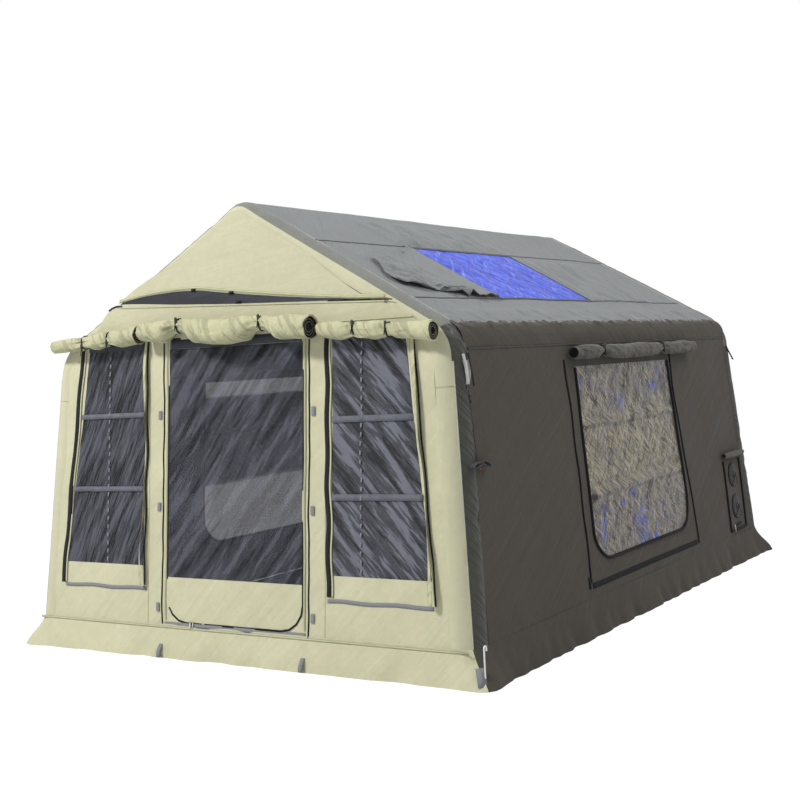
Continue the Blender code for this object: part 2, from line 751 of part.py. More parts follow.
def build_zip(door):
    """The D-shaped zip tape round the foot of the door, and its slider."""
    below = [p for p in door if p[1] < DOOR_KICK_TOP]
    half = DOOR_WIDTH / 2
    inner = [(-half, DOOR_TOP), *[p for p in below if p[0] < 0], *[p for p in below if p[0] > 0],
             (half, DOOR_TOP)]
    centre = Vector((0, (DOOR_TOP + DOOR_BOTTOM) / 2))
    wide = (half + ZIP_TAPE) / half
    outer = []
    for x, z in inner:
        if z == DOOR_TOP:
            outer.append((x * wide, z))
        else:
            corner = Vector((math.copysign(half - DOOR_CORNER, x), DOOR_BOTTOM + DOOR_CORNER))
            away = (Vector((x, z)) - corner).normalized() * ZIP_TAPE
            outer.append((x + away.x, z + away.y))
    outline = inner + outer[::-1]
    face = PANEL_INSET - GAP - ZIP_THICKNESS
    panel("door_zip_track", "black_trim", FRONT, outline, outer=face, thickness=ZIP_THICKNESS)
    z = DOOR_BOTTOM - ZIP_TAPE / 2
    slider = rounded_box(
        SLIDER_PLACE - SLIDER_LENGTH / 2, SLIDER_PLACE + SLIDER_LENGTH / 2,
        z - SLIDER_WIDTH / 2, z + SLIDER_WIDTH / 2, SLIDER_WIDTH / 3,
    )
    panel("door_zip_slider", "white_metal", FRONT, slider,
          outer=face - GAP - SLIDER_THICKNESS, thickness=SLIDER_THICKNESS)


def side_window_outline():
    return rounded_box(SIDE_WINDOW_FRONT, SIDE_WINDOW_REAR, SIDE_WINDOW_BOTTOM, SIDE_WINDOW_TOP,
                       SIDE_WINDOW_CORNER, corners=(0, 1))


def build_flanks(cutters):
    """Side walls with their film windows, and the port panel in the right-hand wall."""
    low, high = SKIRT_HEIGHT + GAP, WALL_TOP

    def column_y(z):
        return half_length(z) - ARCH_RADIUS * END_STRETCH

    wall = [(-column_y(low), low), (column_y(low), low), (column_y(high), high), (-column_y(high), high)]
    window = side_window_outline()
    port = rounded_box(PORT_PANEL_FRONT, PORT_PANEL_REAR, PORT_PANEL_BOTTOM, PORT_PANEL_TOP,
                       PORT_PANEL_CORNER)
    for name, place, holes in (("right", RIGHT, [window, port]), ("left", LEFT, [window])):
        cut(panel(f"{name}_wall_panel", "olive_fabric", place, wall, holes), *cutters.values())
        panel(f"{name}_window_film", "clear_film", place, inset(window), thickness=FILM)
    middle = (PORT_PANEL_FRONT + PORT_PANEL_REAR) / 2
    rings = []
    for name, z in (("upper", DUCT_UPPER), ("lower", DUCT_LOWER)):
        rings.append([
            (middle + DUCT_RADIUS * math.cos(a), z + DUCT_RADIUS * math.sin(a))
            for a in (2 * math.pi * k / (2 * DUCT_PLEATS) for k in range(2 * DUCT_PLEATS))
        ])
        build_duct(f"{name}_duct_port", middle, z)
    panel("port_panel", "black_trim", RIGHT, inset(port), rings)


def build_duct(name, y, z):
    """A gathered fabric sleeve drawn shut over its round opening."""
    profile = (
        (DUCT_RADIUS - GAP, PANEL_INSET + FABRIC), (DUCT_RADIUS - GAP, PANEL_INSET),
        (DUCT_SHOULDER_RADIUS, PANEL_INSET - DUCT_RISE / 2), (DUCT_HUB_RADIUS, PANEL_INSET - DUCT_RISE),
    )
    bm = bmesh.new()
    count = 2 * DUCT_PLEATS
    loops = []
    for i, (radius, depth) in enumerate(profile):
        loop = []
        for k in range(count):
            pleat = DUCT_PLEAT_DEPTH * (k % 2) if i == 2 else 0
            angle = 2 * math.pi * k / count
            loop.append(bm.verts.new(RIGHT(
                y + radius * math.cos(angle), z + radius * math.sin(angle), depth + pleat)))
        loops.append(loop)
    for low, high in zip(loops, loops[1:]):
        for k in range(count):
            n = (k + 1) % count
            bm.faces.new((low[k], low[n], high[n], high[k]))
    bm.faces.new(loops[0])
    bm.faces.new(loops[-1])
    return finish(name, bm, "black_trim")


def build_rear(cutter):
    """The rear wall in one piece, with its mesh window."""
    outline = arch_outline(ARCH_RADIUS, SKIRT_HEIGHT + GAP, ARCH_BEND, RIDGE_BEND)
    half = REAR_WINDOW_WIDTH / 2
    window = rounded_box(-half, half, REAR_WINDOW_BOTTOM, REAR_WINDOW_TOP, REAR_WINDOW_CORNER)
    cut(panel("rear_wall_panel", "khaki_fabric", REAR, outline, [window]), cutter)
    panel("rear_window_mesh", "insect_mesh", REAR, inset(window), thickness=MESH)


def roof_grid(profile):
    """A grid from the front arch to the rear arch over a profile of (x, z) points."""
    return [[FRONT(x, z, ARCH_RADIUS), REAR(x, z, ARCH_RADIUS)] for x, z in profile]


def build_roof(cutters):
    """Three roof panels, the skylight film and its folded cover flap."""
    outer, inner = PANEL_INSET, PANEL_INSET + FABRIC
    edge = ROOF_SEAM - GAP
    ridge = {
        depth: [slope_point(edge, depth), *ridge_arc(depth, LONG_TUBE_OFFSET - depth),
                (-edge, slope_height(edge, depth))]
        for depth in (outer, inner)
    }
    top = grid_slab("ridge_roof_panel", "grey_fabric", roof_grid(ridge[outer]), roof_grid(ridge[inner]))
    cut(top, *cutters.values())
    flank = {
        depth: [slope_point(ROOF_SEAM, depth), *eave_arc(depth, LONG_TUBE_OFFSET - depth)[::-1],
                wall_point(WALL_TOP + GAP, depth)]
        for depth in (outer, inner)
    }
    right = grid_slab("right_roof_panel", "grey_fabric", roof_grid(flank[outer]), roof_grid(flank[inner]))
    left = grid_slab(
        "left_roof_panel", "grey_fabric", roof_grid(mirrored(flank[outer])),
        roof_grid(mirrored(flank[inner])),
    )
    skylight = [(SKYLIGHT_FRONT, SKYLIGHT_UPPER), (SKYLIGHT_REAR, SKYLIGHT_UPPER),
                (SKYLIGHT_REAR, SKYLIGHT_LOWER), (SKYLIGHT_FRONT, SKYLIGHT_LOWER)]
    opening = as_cutter(panel("skylight_cutter", "blue_film", ROOF_RIGHT, skylight,
                              outer=-OVERRUN, thickness=2 * OVERRUN))
    cut(right, opening, *cutters.values())
    cut(left, *cutters.values())
    panel("skylight_film", "blue_film", ROOF_RIGHT, inset(skylight), thickness=FILM)
    build_flap()


def build_flap():
    """The skylight's cover, folded forward off the film and lying in creases on the roof."""
    hinge = SKYLIGHT_FRONT - FLAP_HINGE_GAP
    grids = ([], [])
    for i in range(FLAP_ROWS):
        up = i / (FLAP_ROWS - 1)
        x = SKYLIGHT_UPPER + (SKYLIGHT_LOWER - SKYLIGHT_UPPER) * up
        rows = ([], [])
        for j in range(FLAP_COLUMNS):
            along = j / (FLAP_COLUMNS - 1)
            y = hinge - FLAP_REACH * along
            fold = math.sin(math.pi * FLAP_FOLDS * along + up * math.pi) ** 2
            height = FLAP_LOW + (FLAP_HIGH - FLAP_LOW) * fold * math.sin(math.pi * along)
            rows[0].append(ROOF_RIGHT(y, x, PANEL_INSET - GAP - height))
            rows[1].append(ROOF_RIGHT(y, x, PANEL_INSET - GAP))
        for grid, row in zip(grids, rows):
            grid.append(row)
    grid_slab("skylight_flap", "grey_fabric", *grids, smooth=True)


def base_loop(width, length, radius, z):
    """A rounded rectangle in plan, with a corner's points for each of its four corners."""
    half_x, half_y = width / 2, length / 2
    square = [(half_x, -half_y), (half_x, half_y), (-half_x, half_y), (-half_x, -half_y)]
    corners = []
    for i, point in enumerate(square):
        arc = rounded(square[i - 1], point, square[(i + 1) % 4], radius, 2 * CORNER_STEPS)
        corners.append([Vector((x, y, z)) for x, y in arc])
    return corners


def build_base():
    """The flared mud skirt in four sewn lengths, and the ground sheet."""
    top_gap = FABRIC + GAP
    loops = []
    for thick in (0, FABRIC):
        upper = base_loop(FOOT_WIDTH + 2 * (top_gap - thick), FOOT_LENGTH + 2 * (top_gap - thick),
                          SKIRT_TOP_CORNER + top_gap - thick, SKIRT_HEIGHT - GAP)
        lower = base_loop(BASE_WIDTH - 2 * thick, BASE_LENGTH - 2 * thick, SKIRT_CORNER - thick, 0)
        loops.append((upper, lower))
    for i, name in enumerate(("right", "rear", "left", "front")):
        grids = []
        for upper, lower in loops:
            rows = []
            for points in (lower, upper):
                start = points[i][CORNER_STEPS:]
                end = points[(i + 1) % 4][:CORNER_STEPS + 1]
                seam = (end[-1] - start[0]).normalized() * GAP
                start[0] = start[0] + seam
                end[-1] = end[-1] - seam
                rows.append(start + end)
            grids.append(rows)
        finish_name = "khaki_fabric" if name == "front" else "olive_fabric"
        grid_slab(f"{name}_skirt", finish_name, *grids)
    half_x = BASE_WIDTH / 2 - GROUND_SHEET_MARGIN
    half_y = BASE_LENGTH / 2 - GROUND_SHEET_MARGIN
    outline = rounded_box(-half_x, half_x, -half_y, half_y, SKIRT_CORNER)
    panel("ground_sheet", "ground_fabric", lambda x, y, depth: Vector((x, y, depth)), outline,
          outer=0, thickness=FABRIC)


def roll_stations(low, high, seam, radius, shares):
    """Centre heights, places and radii along a rolled cover that hangs from its seam."""
    return [
        (low + (high - low) * along, seam - radius * (1 + sag), radius * width)
        for along, width, sag in shares
    ]


def roll_ring(place, along, z, radius, depth):
    """A ring round a roll, whose middle lies at this depth."""
    angles = [2 * math.pi * k / ROLL_SIDES for k in range(ROLL_SIDES)]
    return [place(along, z + radius * math.sin(a), depth + radius * math.cos(a)) for a in angles]


def build_roll(name, finish_name, place, face, low, high, seam, radius, shares):
    """A cover rolled up over its window, thinner where its ties draw it in."""
    stations = roll_stations(low, high, seam, radius, shares)
    rings = [roll_ring(place, a, z, r, face - GAP - radius) for a, z, r in stations]
    solid_tube(name, finish_name, rings)


def build_rolls():
    build_roll("door_cover_roll", "khaki_fabric", FRONT, FRONT_FACE, DOOR_ROLL_LEFT,
               DOOR_ROLL_RIGHT, DOOR_ROLL_SEAM, DOOR_ROLL_RADIUS, DOOR_ROLL_SHARES)
    stations = roll_stations(DOOR_ROLL_LEFT, DOOR_ROLL_RIGHT, DOOR_ROLL_SEAM, DOOR_ROLL_RADIUS,
                             DOOR_ROLL_SHARES)
    for share, name in zip(DOOR_TIE_SHARES, ("left", "right")):
        x = DOOR_ROLL_LEFT + (DOOR_ROLL_RIGHT - DOOR_ROLL_LEFT) * share
        waist = min(stations, key=lambda station: abs(station[0] - x))
        ends = (x - TIE_WIDTH / 2, x + TIE_WIDTH / 2)
        depth = FRONT_FACE - GAP - DOOR_ROLL_RADIUS
        loose = waist[2] + GAP
        inner = [roll_ring(FRONT, a, waist[1], loose, depth) for a in ends]
        outer = [roll_ring(FRONT, a, waist[1], loose + TIE_THICKNESS, depth) for a in ends]
        hollow_tube(f"door_roll_{name}_tie", "black_trim", outer, inner)
    start = DOOR_ROLL_RIGHT + SIDE_ROLL_GAP
    build_roll("front_right_cover_roll", "khaki_fabric", FRONT, FRONT_FACE, start,
               start + SIDE_ROLL_LENGTH, SIDE_ROLL_SEAM, SIDE_ROLL_RADIUS, SIDE_ROLL_SHARES)
    start = DOOR_ROLL_LEFT - SIDE_ROLL_GAP
    build_roll("front_left_cover_roll", "khaki_fabric", FRONT, FRONT_FACE, start,
               start - SIDE_ROLL_LENGTH, SIDE_ROLL_SEAM, SIDE_ROLL_RADIUS, SIDE_ROLL_SHARES)
    for name, place in (("right", RIGHT), ("left", LEFT)):
        build_roll(f"{name}_wall_cover_roll", "grey_fabric", place, PANEL_INSET, WALL_ROLL_FRONT,
                   WALL_ROLL_REAR, WALL_ROLL_SEAM, WALL_ROLL_RADIUS, WALL_ROLL_SHARES)
    build_roll("port_cover_roll", "olive_fabric", RIGHT, PANEL_INSET, PORT_ROLL_FRONT,
               PORT_ROLL_REAR, PORT_ROLL_SEAM, PORT_ROLL_RADIUS, PORT_ROLL_SHARES)


def column_centre(z):
    """Distance of a column's centre line behind the front, at a height."""
    return half_length(z) - ARCH_RADIUS * END_STRETCH


def strap(name, finish_name, corners, thickness_run):
    """A flat piece of webbing: four corners of its near face, and the way its thickness goes."""
    bm = bmesh.new()
    near = [bm.verts.new(point) for point in corners]
    far = [bm.verts.new(Vector(point) + thickness_run) for point in corners]
    bm.faces.new(near)
    bm.faces.new(far[::-1])
    for k in range(4):
        n = (k + 1) % 4
        bm.faces.new((near[k], near[n], far[n], far[k]))
    return finish(name, bm, finish_name)


def build_guys():
    """Short webbing straps at three eave corners, and the guy tab, buckle and rope at the fourth."""
    half = STRAP_WIDTH / 2
    for name, side, end in (("front_left", -1, -1), ("rear_left", -1, 1), ("rear_right", 1, 1)):
        y = end * column_centre(STRAP_HEIGHT)
        low_y = end * column_centre(STRAP_HEIGHT - STRAP_LENGTH)
        top_x = side * (wall_point(STRAP_HEIGHT, 0)[0] + GAP)
        low_z = STRAP_HEIGHT - STRAP_LENGTH
        low_x = side * (wall_point(low_z, 0)[0] + GAP + STRAP_LEAN)
        strap(f"{name}_guy_strap", "black_trim", [
            (top_x, y - half, STRAP_HEIGHT), (top_x, y + half, STRAP_HEIGHT),
            (low_x, low_y + half, low_z), (low_x, low_y - half, low_z),
        ], Vector((side * STRAP_THICKNESS, 0, 0)))
    y = -column_centre(GUY_TAB_HEIGHT)
    low_z = GUY_TAB_HEIGHT - GUY_TAB_LENGTH
    low_y = -column_centre(low_z)
    spread = GUY_TAB_SPREAD / 2
    face = -GAP - STRAP_THICKNESS
    tab = [(y - spread, GUY_TAB_HEIGHT), (y + spread, GUY_TAB_HEIGHT), (low_y + half, low_z),
           (low_y - half, low_z)]
    panel("front_right_guy_tab", "khaki_fabric", RIGHT, tab, outer=face, thickness=STRAP_THICKNESS)
    buckle_top = low_z - GAP
    buckle = rounded_box(low_y - BUCKLE_WIDTH / 2, low_y + BUCKLE_WIDTH / 2,
                         buckle_top - BUCKLE_HEIGHT, buckle_top, BUCKLE_THICKNESS)
    slot = rounded_box(low_y - BUCKLE_SLOT_WIDTH / 2, low_y + BUCKLE_SLOT_WIDTH / 2,
                       buckle_top - BUCKLE_HEIGHT / 2 - BUCKLE_SLOT_HEIGHT / 2,
                       buckle_top - BUCKLE_HEIGHT / 2 + BUCKLE_SLOT_HEIGHT / 2,
                       BUCKLE_SLOT_CORNER)
    panel("guy_buckle", "black_trim", RIGHT, buckle, [slot], outer=-GAP - BUCKLE_THICKNESS,
          thickness=BUCKLE_THICKNESS)
    build_rope(low_y, buckle_top - BUCKLE_HEIGHT)


def cord(name, finish_name, points, radius, resolution, cyclic=False):
    """A round cord along points already read from a smooth curve."""
    curve = bpy.data.curves.new(name, "CURVE")
    curve.dimensions = "3D"
    curve.bevel_depth = radius
    curve.bevel_resolution = resolution
    curve.use_fill_caps = True
    spline = curve.splines.new("POLY")
    spline.points.add(len(points) - 1)
    spline.use_cyclic_u = cyclic
    for target, point in zip(spline.points, points):
        target.co = (*point, 1)
    curve.materials.append(material(finish_name))
    made = bpy.data.objects.new(name, curve)
    bpy.context.scene.collection.objects.link(made)
    return made


def hank_point(turn, x, y, z):
    """A point of the hank: long loops side by side, drawn in at the waist and drooping outward."""
    angle = 2 * math.pi * turn
    along = math.cos(angle)
    half = HANK_WAIST_HALF_HEIGHT + (HANK_HALF_HEIGHT - HANK_WAIST_HALF_HEIGHT) * along ** 2
    droop = HANK_DROOP * along ** 2
    return Vector((
        x + HANK_PITCH * turn, y + HANK_HALF_LENGTH * along, z - droop + half * math.sin(angle),
    ))


def build_rope(y, top):
    """The guy rope: a hanging run, its hank wound beside the column, and its end hook."""
    count = max(2, round(ROPE_DROP / ROPE_STEP))
    low = top - ROPE_DROP
    run = []
    for k in range(count + 1):
        z = top - GAP - ROPE_DROP * k / count
        run.append((wall_point(z, 0)[0] + ROPE_STANDOFF, y, z))
    cord("guy_rope", "guy_cord", run, ROPE_RADIUS, 2)
    x = wall_point(low - HANK_HALF_HEIGHT, 0)[0] + ROPE_STANDOFF
    z = low - HANK_WAIST_HALF_HEIGHT - 2 * GAP - ROPE_RADIUS
    total = HANK_LOOPS * HANK_LOOP_POINTS
    points = [hank_point(k / HANK_LOOP_POINTS, x, y, z) for k in range(total + 1)]
    cord("guy_rope_hank", "guy_cord", points, ROPE_RADIUS, 1)
    least = min(
        (points[i] - points[j]).length
        for i in range(0, total + 1)
        for j in range(i + HANK_NEAR_POINTS, total + 1)
    )
    print(f"hank: least gap to itself {1000 * (least - 2 * ROPE_RADIUS):.2f} mm")
    length = sum((b - a).length for a, b in zip(points, points[1:]))
    print(f"guy rope: {ROPE_DROP + length:.2f} m with its hank")
    middle = x + HANK_PITCH * HANK_LOOPS / 2
    foot = z - HANK_WAIST_HALF_HEIGHT - ROPE_RADIUS - HOOK_RADIUS - 3 * GAP
    hook = [
        Vector((middle, y + HOOK_BEND * math.cos(a), foot + HOOK_BEND * (math.sin(a) - 1)))
        for a in (math.pi / 2 + HOOK_TURN * k / PEG_STEPS for k in range(PEG_STEPS + 1))
    ]
    start = hook[0] + Vector((0, HOOK_SHANK / 2, 0))
    cord("guy_hook", "red_plastic", [start, *hook], HOOK_RADIUS, 2)


def build_peg():
    """A hooked ground peg standing in its webbing loop at the front right corner."""
    x = BASE_WIDTH / 2 - PEG_INSET
    y = -(BASE_LENGTH / 2 - PEG_INSET)
    shank_top = PEG_HEIGHT - PEG_HOOK_RADIUS - PEG_RADIUS
    hook = [
        Vector((x, y + PEG_HOOK_RADIUS * (1 - math.cos(a)), shank_top + PEG_HOOK_RADIUS * math.sin(a)))
        for a in (math.pi * k / PEG_STEPS for k in range(PEG_STEPS + 1))
    ]
    tip = hook[-1] - Vector((0, 0, PEG_HOOK_DROP))
    cord("ground_peg", "white_metal", [Vector((x, y, 0)), *hook, tip], PEG_RADIUS, 2)
    out, across = Vector((1, -1, 0)).normalized(), Vector((1, 1, 0)).normalized()
    corner_share = math.sqrt(2) - 1
    flare = Vector((SIDE_FLARE, -END_FLARE, 0)).dot(out)
    lean = (flare + (SKIRT_TOP_CORNER - SKIRT_CORNER) * corner_share) / SKIRT_HEIGHT
    rise = PEG_LOOP_HEIGHT - PEG_LOOP_THICKNESS
    base = Vector((BASE_WIDTH / 2 - x, -BASE_LENGTH / 2 - y, 0)).dot(out)
    skirt = base - SKIRT_CORNER * corner_share - rise * lean + GAP
    tip_half, root_half = PEG_LOOP_TIP_WIDTH / 2, PEG_LOOP_WIDTH / 2
    end = 2 * PEG_RADIUS
    outline = [(end, -tip_half), (end, tip_half), (skirt, root_half), (skirt, -root_half)]
    radius = PEG_RADIUS + PEG_CLEARANCE
    hole = [
        (radius * math.cos(a), radius * math.sin(a))
        for a in (2 * math.pi * k / ROLL_SIDES for k in range(ROLL_SIDES))
    ]

    def loop_place(a, b, depth):
        return Vector((x, y, PEG_LOOP_HEIGHT - depth)) + out * a + across * b

    panel("peg_loop", "grey_webbing", loop_place, outline, [hole], outer=0,
          thickness=PEG_LOOP_THICKNESS)


def main():
    for obj in list(bpy.data.objects):
        bpy.data.objects.remove(obj, do_unlink=True)
    cutters = build_frame()
    build_front(cutters[-1])
    build_flanks(cutters)
    build_rear(cutters[1])
    build_roof(cutters)
    build_base()
    build_rolls()
    build_guys()
    build_peg()


main()
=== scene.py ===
"""The looks of a house-shaped inflatable tent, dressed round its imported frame."""

from __future__ import annotations

import logging
import math
from collections.abc import Callable, Mapping, Sequence
from dataclasses import dataclass, field
from enum import Enum
from typing import Protocol

import bmesh
import bpy
from bmesh.types import BMEdge, BMesh, BMFace, BMVert
from bpy.types import Node, NodeSocket, NodeTree, Object
from mathutils import Matrix, Vector, noise

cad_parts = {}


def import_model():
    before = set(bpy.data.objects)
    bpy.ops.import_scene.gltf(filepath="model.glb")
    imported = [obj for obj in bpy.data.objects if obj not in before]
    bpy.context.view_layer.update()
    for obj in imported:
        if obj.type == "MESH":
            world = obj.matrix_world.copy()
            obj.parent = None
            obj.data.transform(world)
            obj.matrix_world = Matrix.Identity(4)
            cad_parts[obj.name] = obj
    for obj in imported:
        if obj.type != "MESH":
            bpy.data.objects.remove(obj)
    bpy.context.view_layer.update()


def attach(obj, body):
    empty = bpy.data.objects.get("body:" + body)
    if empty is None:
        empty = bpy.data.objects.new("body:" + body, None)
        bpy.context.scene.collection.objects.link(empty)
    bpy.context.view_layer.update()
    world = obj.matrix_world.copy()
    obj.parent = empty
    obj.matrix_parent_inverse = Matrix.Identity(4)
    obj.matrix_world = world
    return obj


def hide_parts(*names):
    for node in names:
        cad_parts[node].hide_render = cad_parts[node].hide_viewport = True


LOG = logging.getLogger("tent")
Field = Callable[[float, float], float]
Spot = tuple[float, float]
Sockets = Mapping[str, NodeSocket]
X, Y, Z = Vector((1, 0, 0)), Vector((0, 1, 0)), Vector((0, 0, 1))


class Side(Enum):
    """The two long sides of the tent."""

    RIGHT = 1
    LEFT = -1

    @property
    def word(self) -> str:
        """The side as it stands in the names of pieces."""
        return self.name.lower()


class Coords(Enum):
    """Which coordinates a finish's pattern follows."""

    OBJECT = "Object"
    UV = "UV"


def fade(value: float, low: float, high: float) -> float:
    """Goes smoothly from 0 at low to 1 at high.

    Args:
        value: The number to place between the limits.
        low: Where the result is 0.
        high: Where the result is 1.

    Returns:
        A number from 0 to 1.
    """
    share = min(max((value - low) / (high - low), 0.0), 1.0)
    return share * share * (3 - 2 * share)


def spread(start: float, end: float, count: int) -> list[float]:
    """Numbers at even steps from start to end, both among them."""
    return [start + (end - start) * k / count for k in range(count + 1)]


def turns(count: int) -> list[float]:
    """Even angles once round a circle."""
    return [2 * math.pi * k / count for k in range(count)]


class Relief(Protocol):
    """What gives a cloth its height over its plane."""

    def at(self, a: float, b: float) -> float:
        """The height at a place, in metres."""


@dataclass(frozen=True)
class Folds:
    """One family of folds in a cloth, as a height over its plane."""

    turn: float
    pitch: float
    height: float
    stretch: float = 5.0
    sharp: float = 0.0
    seed: float = 0.0
    steep: float = 3.2

    def at(self, a: float, b: float) -> float:
        """Height of the folds at a place in the cloth.

        Args:
            a: Distance across the cloth.
            b: Distance up the cloth.

        Returns:
            The height in metres.
        """
        angle = math.radians(self.turn)
        along = a * math.cos(angle) + b * math.sin(angle)
        over = b * math.cos(angle) - a * math.sin(angle)
        spot = Vector((along / (self.pitch * self.stretch), over / self.pitch, self.seed))
        wave = noise.noise(spot)
        ridge = 1 - self.steep * abs(wave)
        return self.height * (wave * (1 - self.sharp) + ridge * self.sharp)


def inside(low: Spot, high: Spot, rim: float) -> Field:
    """A field that is 1 inside a box and fades to 0 at its edges.

    Args:
        low: The box's lower corner.
        high: Its upper corner.
        rim: Width of the fade.

    Returns:
        The field.
    """
    def field_at(a: float, b: float) -> float:
        """The share at one place."""
        across = fade(a, low[0], low[0] + rim) * (1 - fade(a, high[0] - rim, high[0]))
        return across * fade(b, low[1], low[1] + rim) * (1 - fade(b, high[1] - rim, high[1]))
    return field_at


@dataclass(frozen=True)
class Patch:
    """Folds that show only in one part of a cloth."""

    folds: Folds
    share: Field

    def at(self, a: float, b: float) -> float:
        """Height of the folds at a place, which only stand outward."""
        return abs(self.folds.at(a, b)) * self.share(a, b)


@dataclass(frozen=True)
class Envelope:
    """The tent's outer shape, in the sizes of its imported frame."""

    foot_width: float = 2.86
    foot_length: float = 4.24
    eave_width: float = 2.626
    eave_height: float = 1.645
    ridge_length: float = 3.80
    ridge_height: float = 2.40
    skirt_height: float = 0.16
    tube: float = 0.10
    eave_bend: float = 0.14
    ridge_bend: float = 0.16
    roof_bend: float = 0.1053
    sheet_depth: float = 0.003
    sheet_wall: float = 0.002
    peak_low: float = 0.24
    peak_high: float = 0.10

    @property
    def side_lean(self) -> float:
        """Inward run of a side wall per metre of height."""
        return (self.foot_width - self.eave_width) / 2 / (self.eave_height - self.skirt_height)

    @property
    def end_lean(self) -> float:
        """Inward run of an end wall per metre of height."""
        return (self.foot_length - self.ridge_length) / 2 / (self.ridge_height - self.skirt_height)

    @property
    def slope(self) -> float:
        """Fall of the roof per metre of width."""
        return (self.ridge_height - self.eave_height) / (self.eave_width / 2)

    def half_width(self, z: float) -> float:
        """Half the outer width at a height."""
        return self.foot_width / 2 - self.side_lean * (z - self.skirt_height)

    def half_length(self, z: float) -> float:
        """Half the outer length at a height."""
        return self.foot_length / 2 - self.end_lean * (z - self.skirt_height)

    def arch_line(self, z: float) -> float:
        """Distance of an arch's middle line from the tent's middle, at a height."""
        return self.half_length(z) - self.tube * math.hypot(1, self.end_lean)

    def end(self, end: int, x: float, z: float, lift: float = 0.0) -> Vector:
        """A point on the front (-1) or rear (1) wall, lifted outward."""
        return Vector((x, end * (self.half_length(z) + lift * math.hypot(1, self.end_lean)), z))

    def flank(self, side: Side, y: float, z: float, lift: float = 0.0) -> Vector:
        """A point on a side wall, lifted outward."""
        stretch = math.hypot(1, self.side_lean)
        return Vector((side.value * (self.half_width(z) + lift * stretch), y, z))

    def roof(self, side: Side, y: float, x: float, lift: float = 0.0) -> Vector:
        """A point on a roof slope, at a distance x from the middle, lifted outward."""
        height = self.ridge_height - self.slope * x + lift * math.hypot(1, self.slope)
        return Vector((side.value * x, y, height))

    def ridge_corner(self, depth: float) -> Vector:
        """The arch's top corner, this far inside the envelope, in the plane of x and z."""
        return Vector((0, self.ridge_height - depth * math.hypot(1, self.slope)))

    def eave_corner(self, depth: float) -> Vector:
        """The arch's right eave corner, this far inside the envelope."""
        foot = self.half_width(0) - depth * math.hypot(1, self.side_lean)
        crown = self.ridge_corner(depth).y
        x = (foot - self.side_lean * crown) / (1 - self.side_lean * self.slope)
        return Vector((x, crown - self.slope * x))

    def arch(self, depth: float, foot: float, steps: int = 8) -> list[Vector]:
        """The arch's outline from the right foot over the ridge to the left foot.

        Args:
            depth: Distance inside the envelope.
            foot: Height of the two ends.
            steps: Steps in each rounded corner.

        Returns:
            Points in the plane of x and z.
        """
        eave, ridge = self.eave_corner(depth), self.ridge_corner(depth)
        low = Vector((self.half_width(foot) - depth * math.hypot(1, self.side_lean), foot))
        right = [low, *bend(low, eave, ridge, self.eave_bend, steps)]
        crown = bend(eave, ridge, Vector((-eave.x, eave.y)), self.ridge_bend, steps)
        left = [Vector((-p.x, p.y)) for p in reversed(right)]
        return right + crown + left

    def smooth_bends(self, bm: BMesh) -> None:
        """Moves the points of a sheet that follows the arch's rounded corners onto true arcs."""
        inset, wall = self.sheet_depth, self.sheet_wall
        for corner, before, after, radius in self.corners():
            first, second = (before - corner).normalized(), (after - corner).normalized()
            centre = corner + (first + second).normalized() * (radius / math.sin(first.angle(second) / 2))
            limit = (math.pi - first.angle(second)) / 2
            outward = (corner - centre).normalized()
            for vert in bm.verts:
                way = Vector((vert.co.x, vert.co.z)) - centre
                depth = radius - way.length
                if way.angle(outward, math.pi) < limit and abs(depth - inset - wall / 2) < wall:
                    depth = inset if depth < inset + wall * 0.75 else inset + wall
                    place = centre + way.normalized() * (radius - depth)
                    vert.co.x, vert.co.z = place

    def crown(self, x: float, radius: float) -> float:
        """Height of a ridge rounded with this radius, at a distance from the middle."""
        if abs(x) > radius * math.sin(math.atan(self.slope)):
            return self.ridge_height - self.slope * abs(x)
        return self.ridge_height - radius * math.hypot(1, self.slope) + math.sqrt(radius ** 2 - x ** 2)

    def peak(self, p: Vector) -> Vector:
        """Lifts the arch's rounded top to the sharper ridge of the roof."""
        lift = self.crown(p.x, self.roof_bend) - self.crown(p.x, self.ridge_bend + self.tube)
        return p + Z * lift * fade(p.z, self.ridge_height - self.peak_low, self.ridge_height - self.peak_high)

    def corners(self) -> list[tuple[Vector, Vector, Vector, float]]:
        """The roof's rounded corners: the corner, a point before it and after it, and the radius."""
        ridge, eaves = self.ridge_corner(0), [self.eave_corner(0)]
        eaves.append(Vector((-eaves[0].x, eaves[0].y)))
        feet = [Vector((side.value * self.half_width(0), 0)) for side in Side]
        return [(ridge, *eaves, self.roof_bend),
                *((eave, foot, ridge, self.roof_bend) for eave, foot in zip(eaves, feet))]


ENV = Envelope()


def bend(before: Vector, corner: Vector, after: Vector, radius: float, steps: int) -> list[Vector]:
    """Rounds a corner between two straight runs.

    Args:
        before: A point on the run before the corner.
        corner: The sharp corner.
        after: A point on the run after the corner.
        radius: Radius of the rounding.
        steps: Steps in the arc.

    Returns:
        The points of the arc.
    """
    first, second = (before - corner).normalized(), (after - corner).normalized()
    half = first.angle(second) / 2
    centre = corner + (first + second).normalized() * (radius / math.sin(half))
    start = corner + first * (radius / math.tan(half)) - centre
    end = corner + second * (radius / math.tan(half)) - centre
    total = start.angle(end)
    return [
        centre + (start * math.sin(total * (1 - share)) + end * math.sin(total * share)) / math.sin(total)
        for share in (k / steps for k in range(steps + 1))
    ]


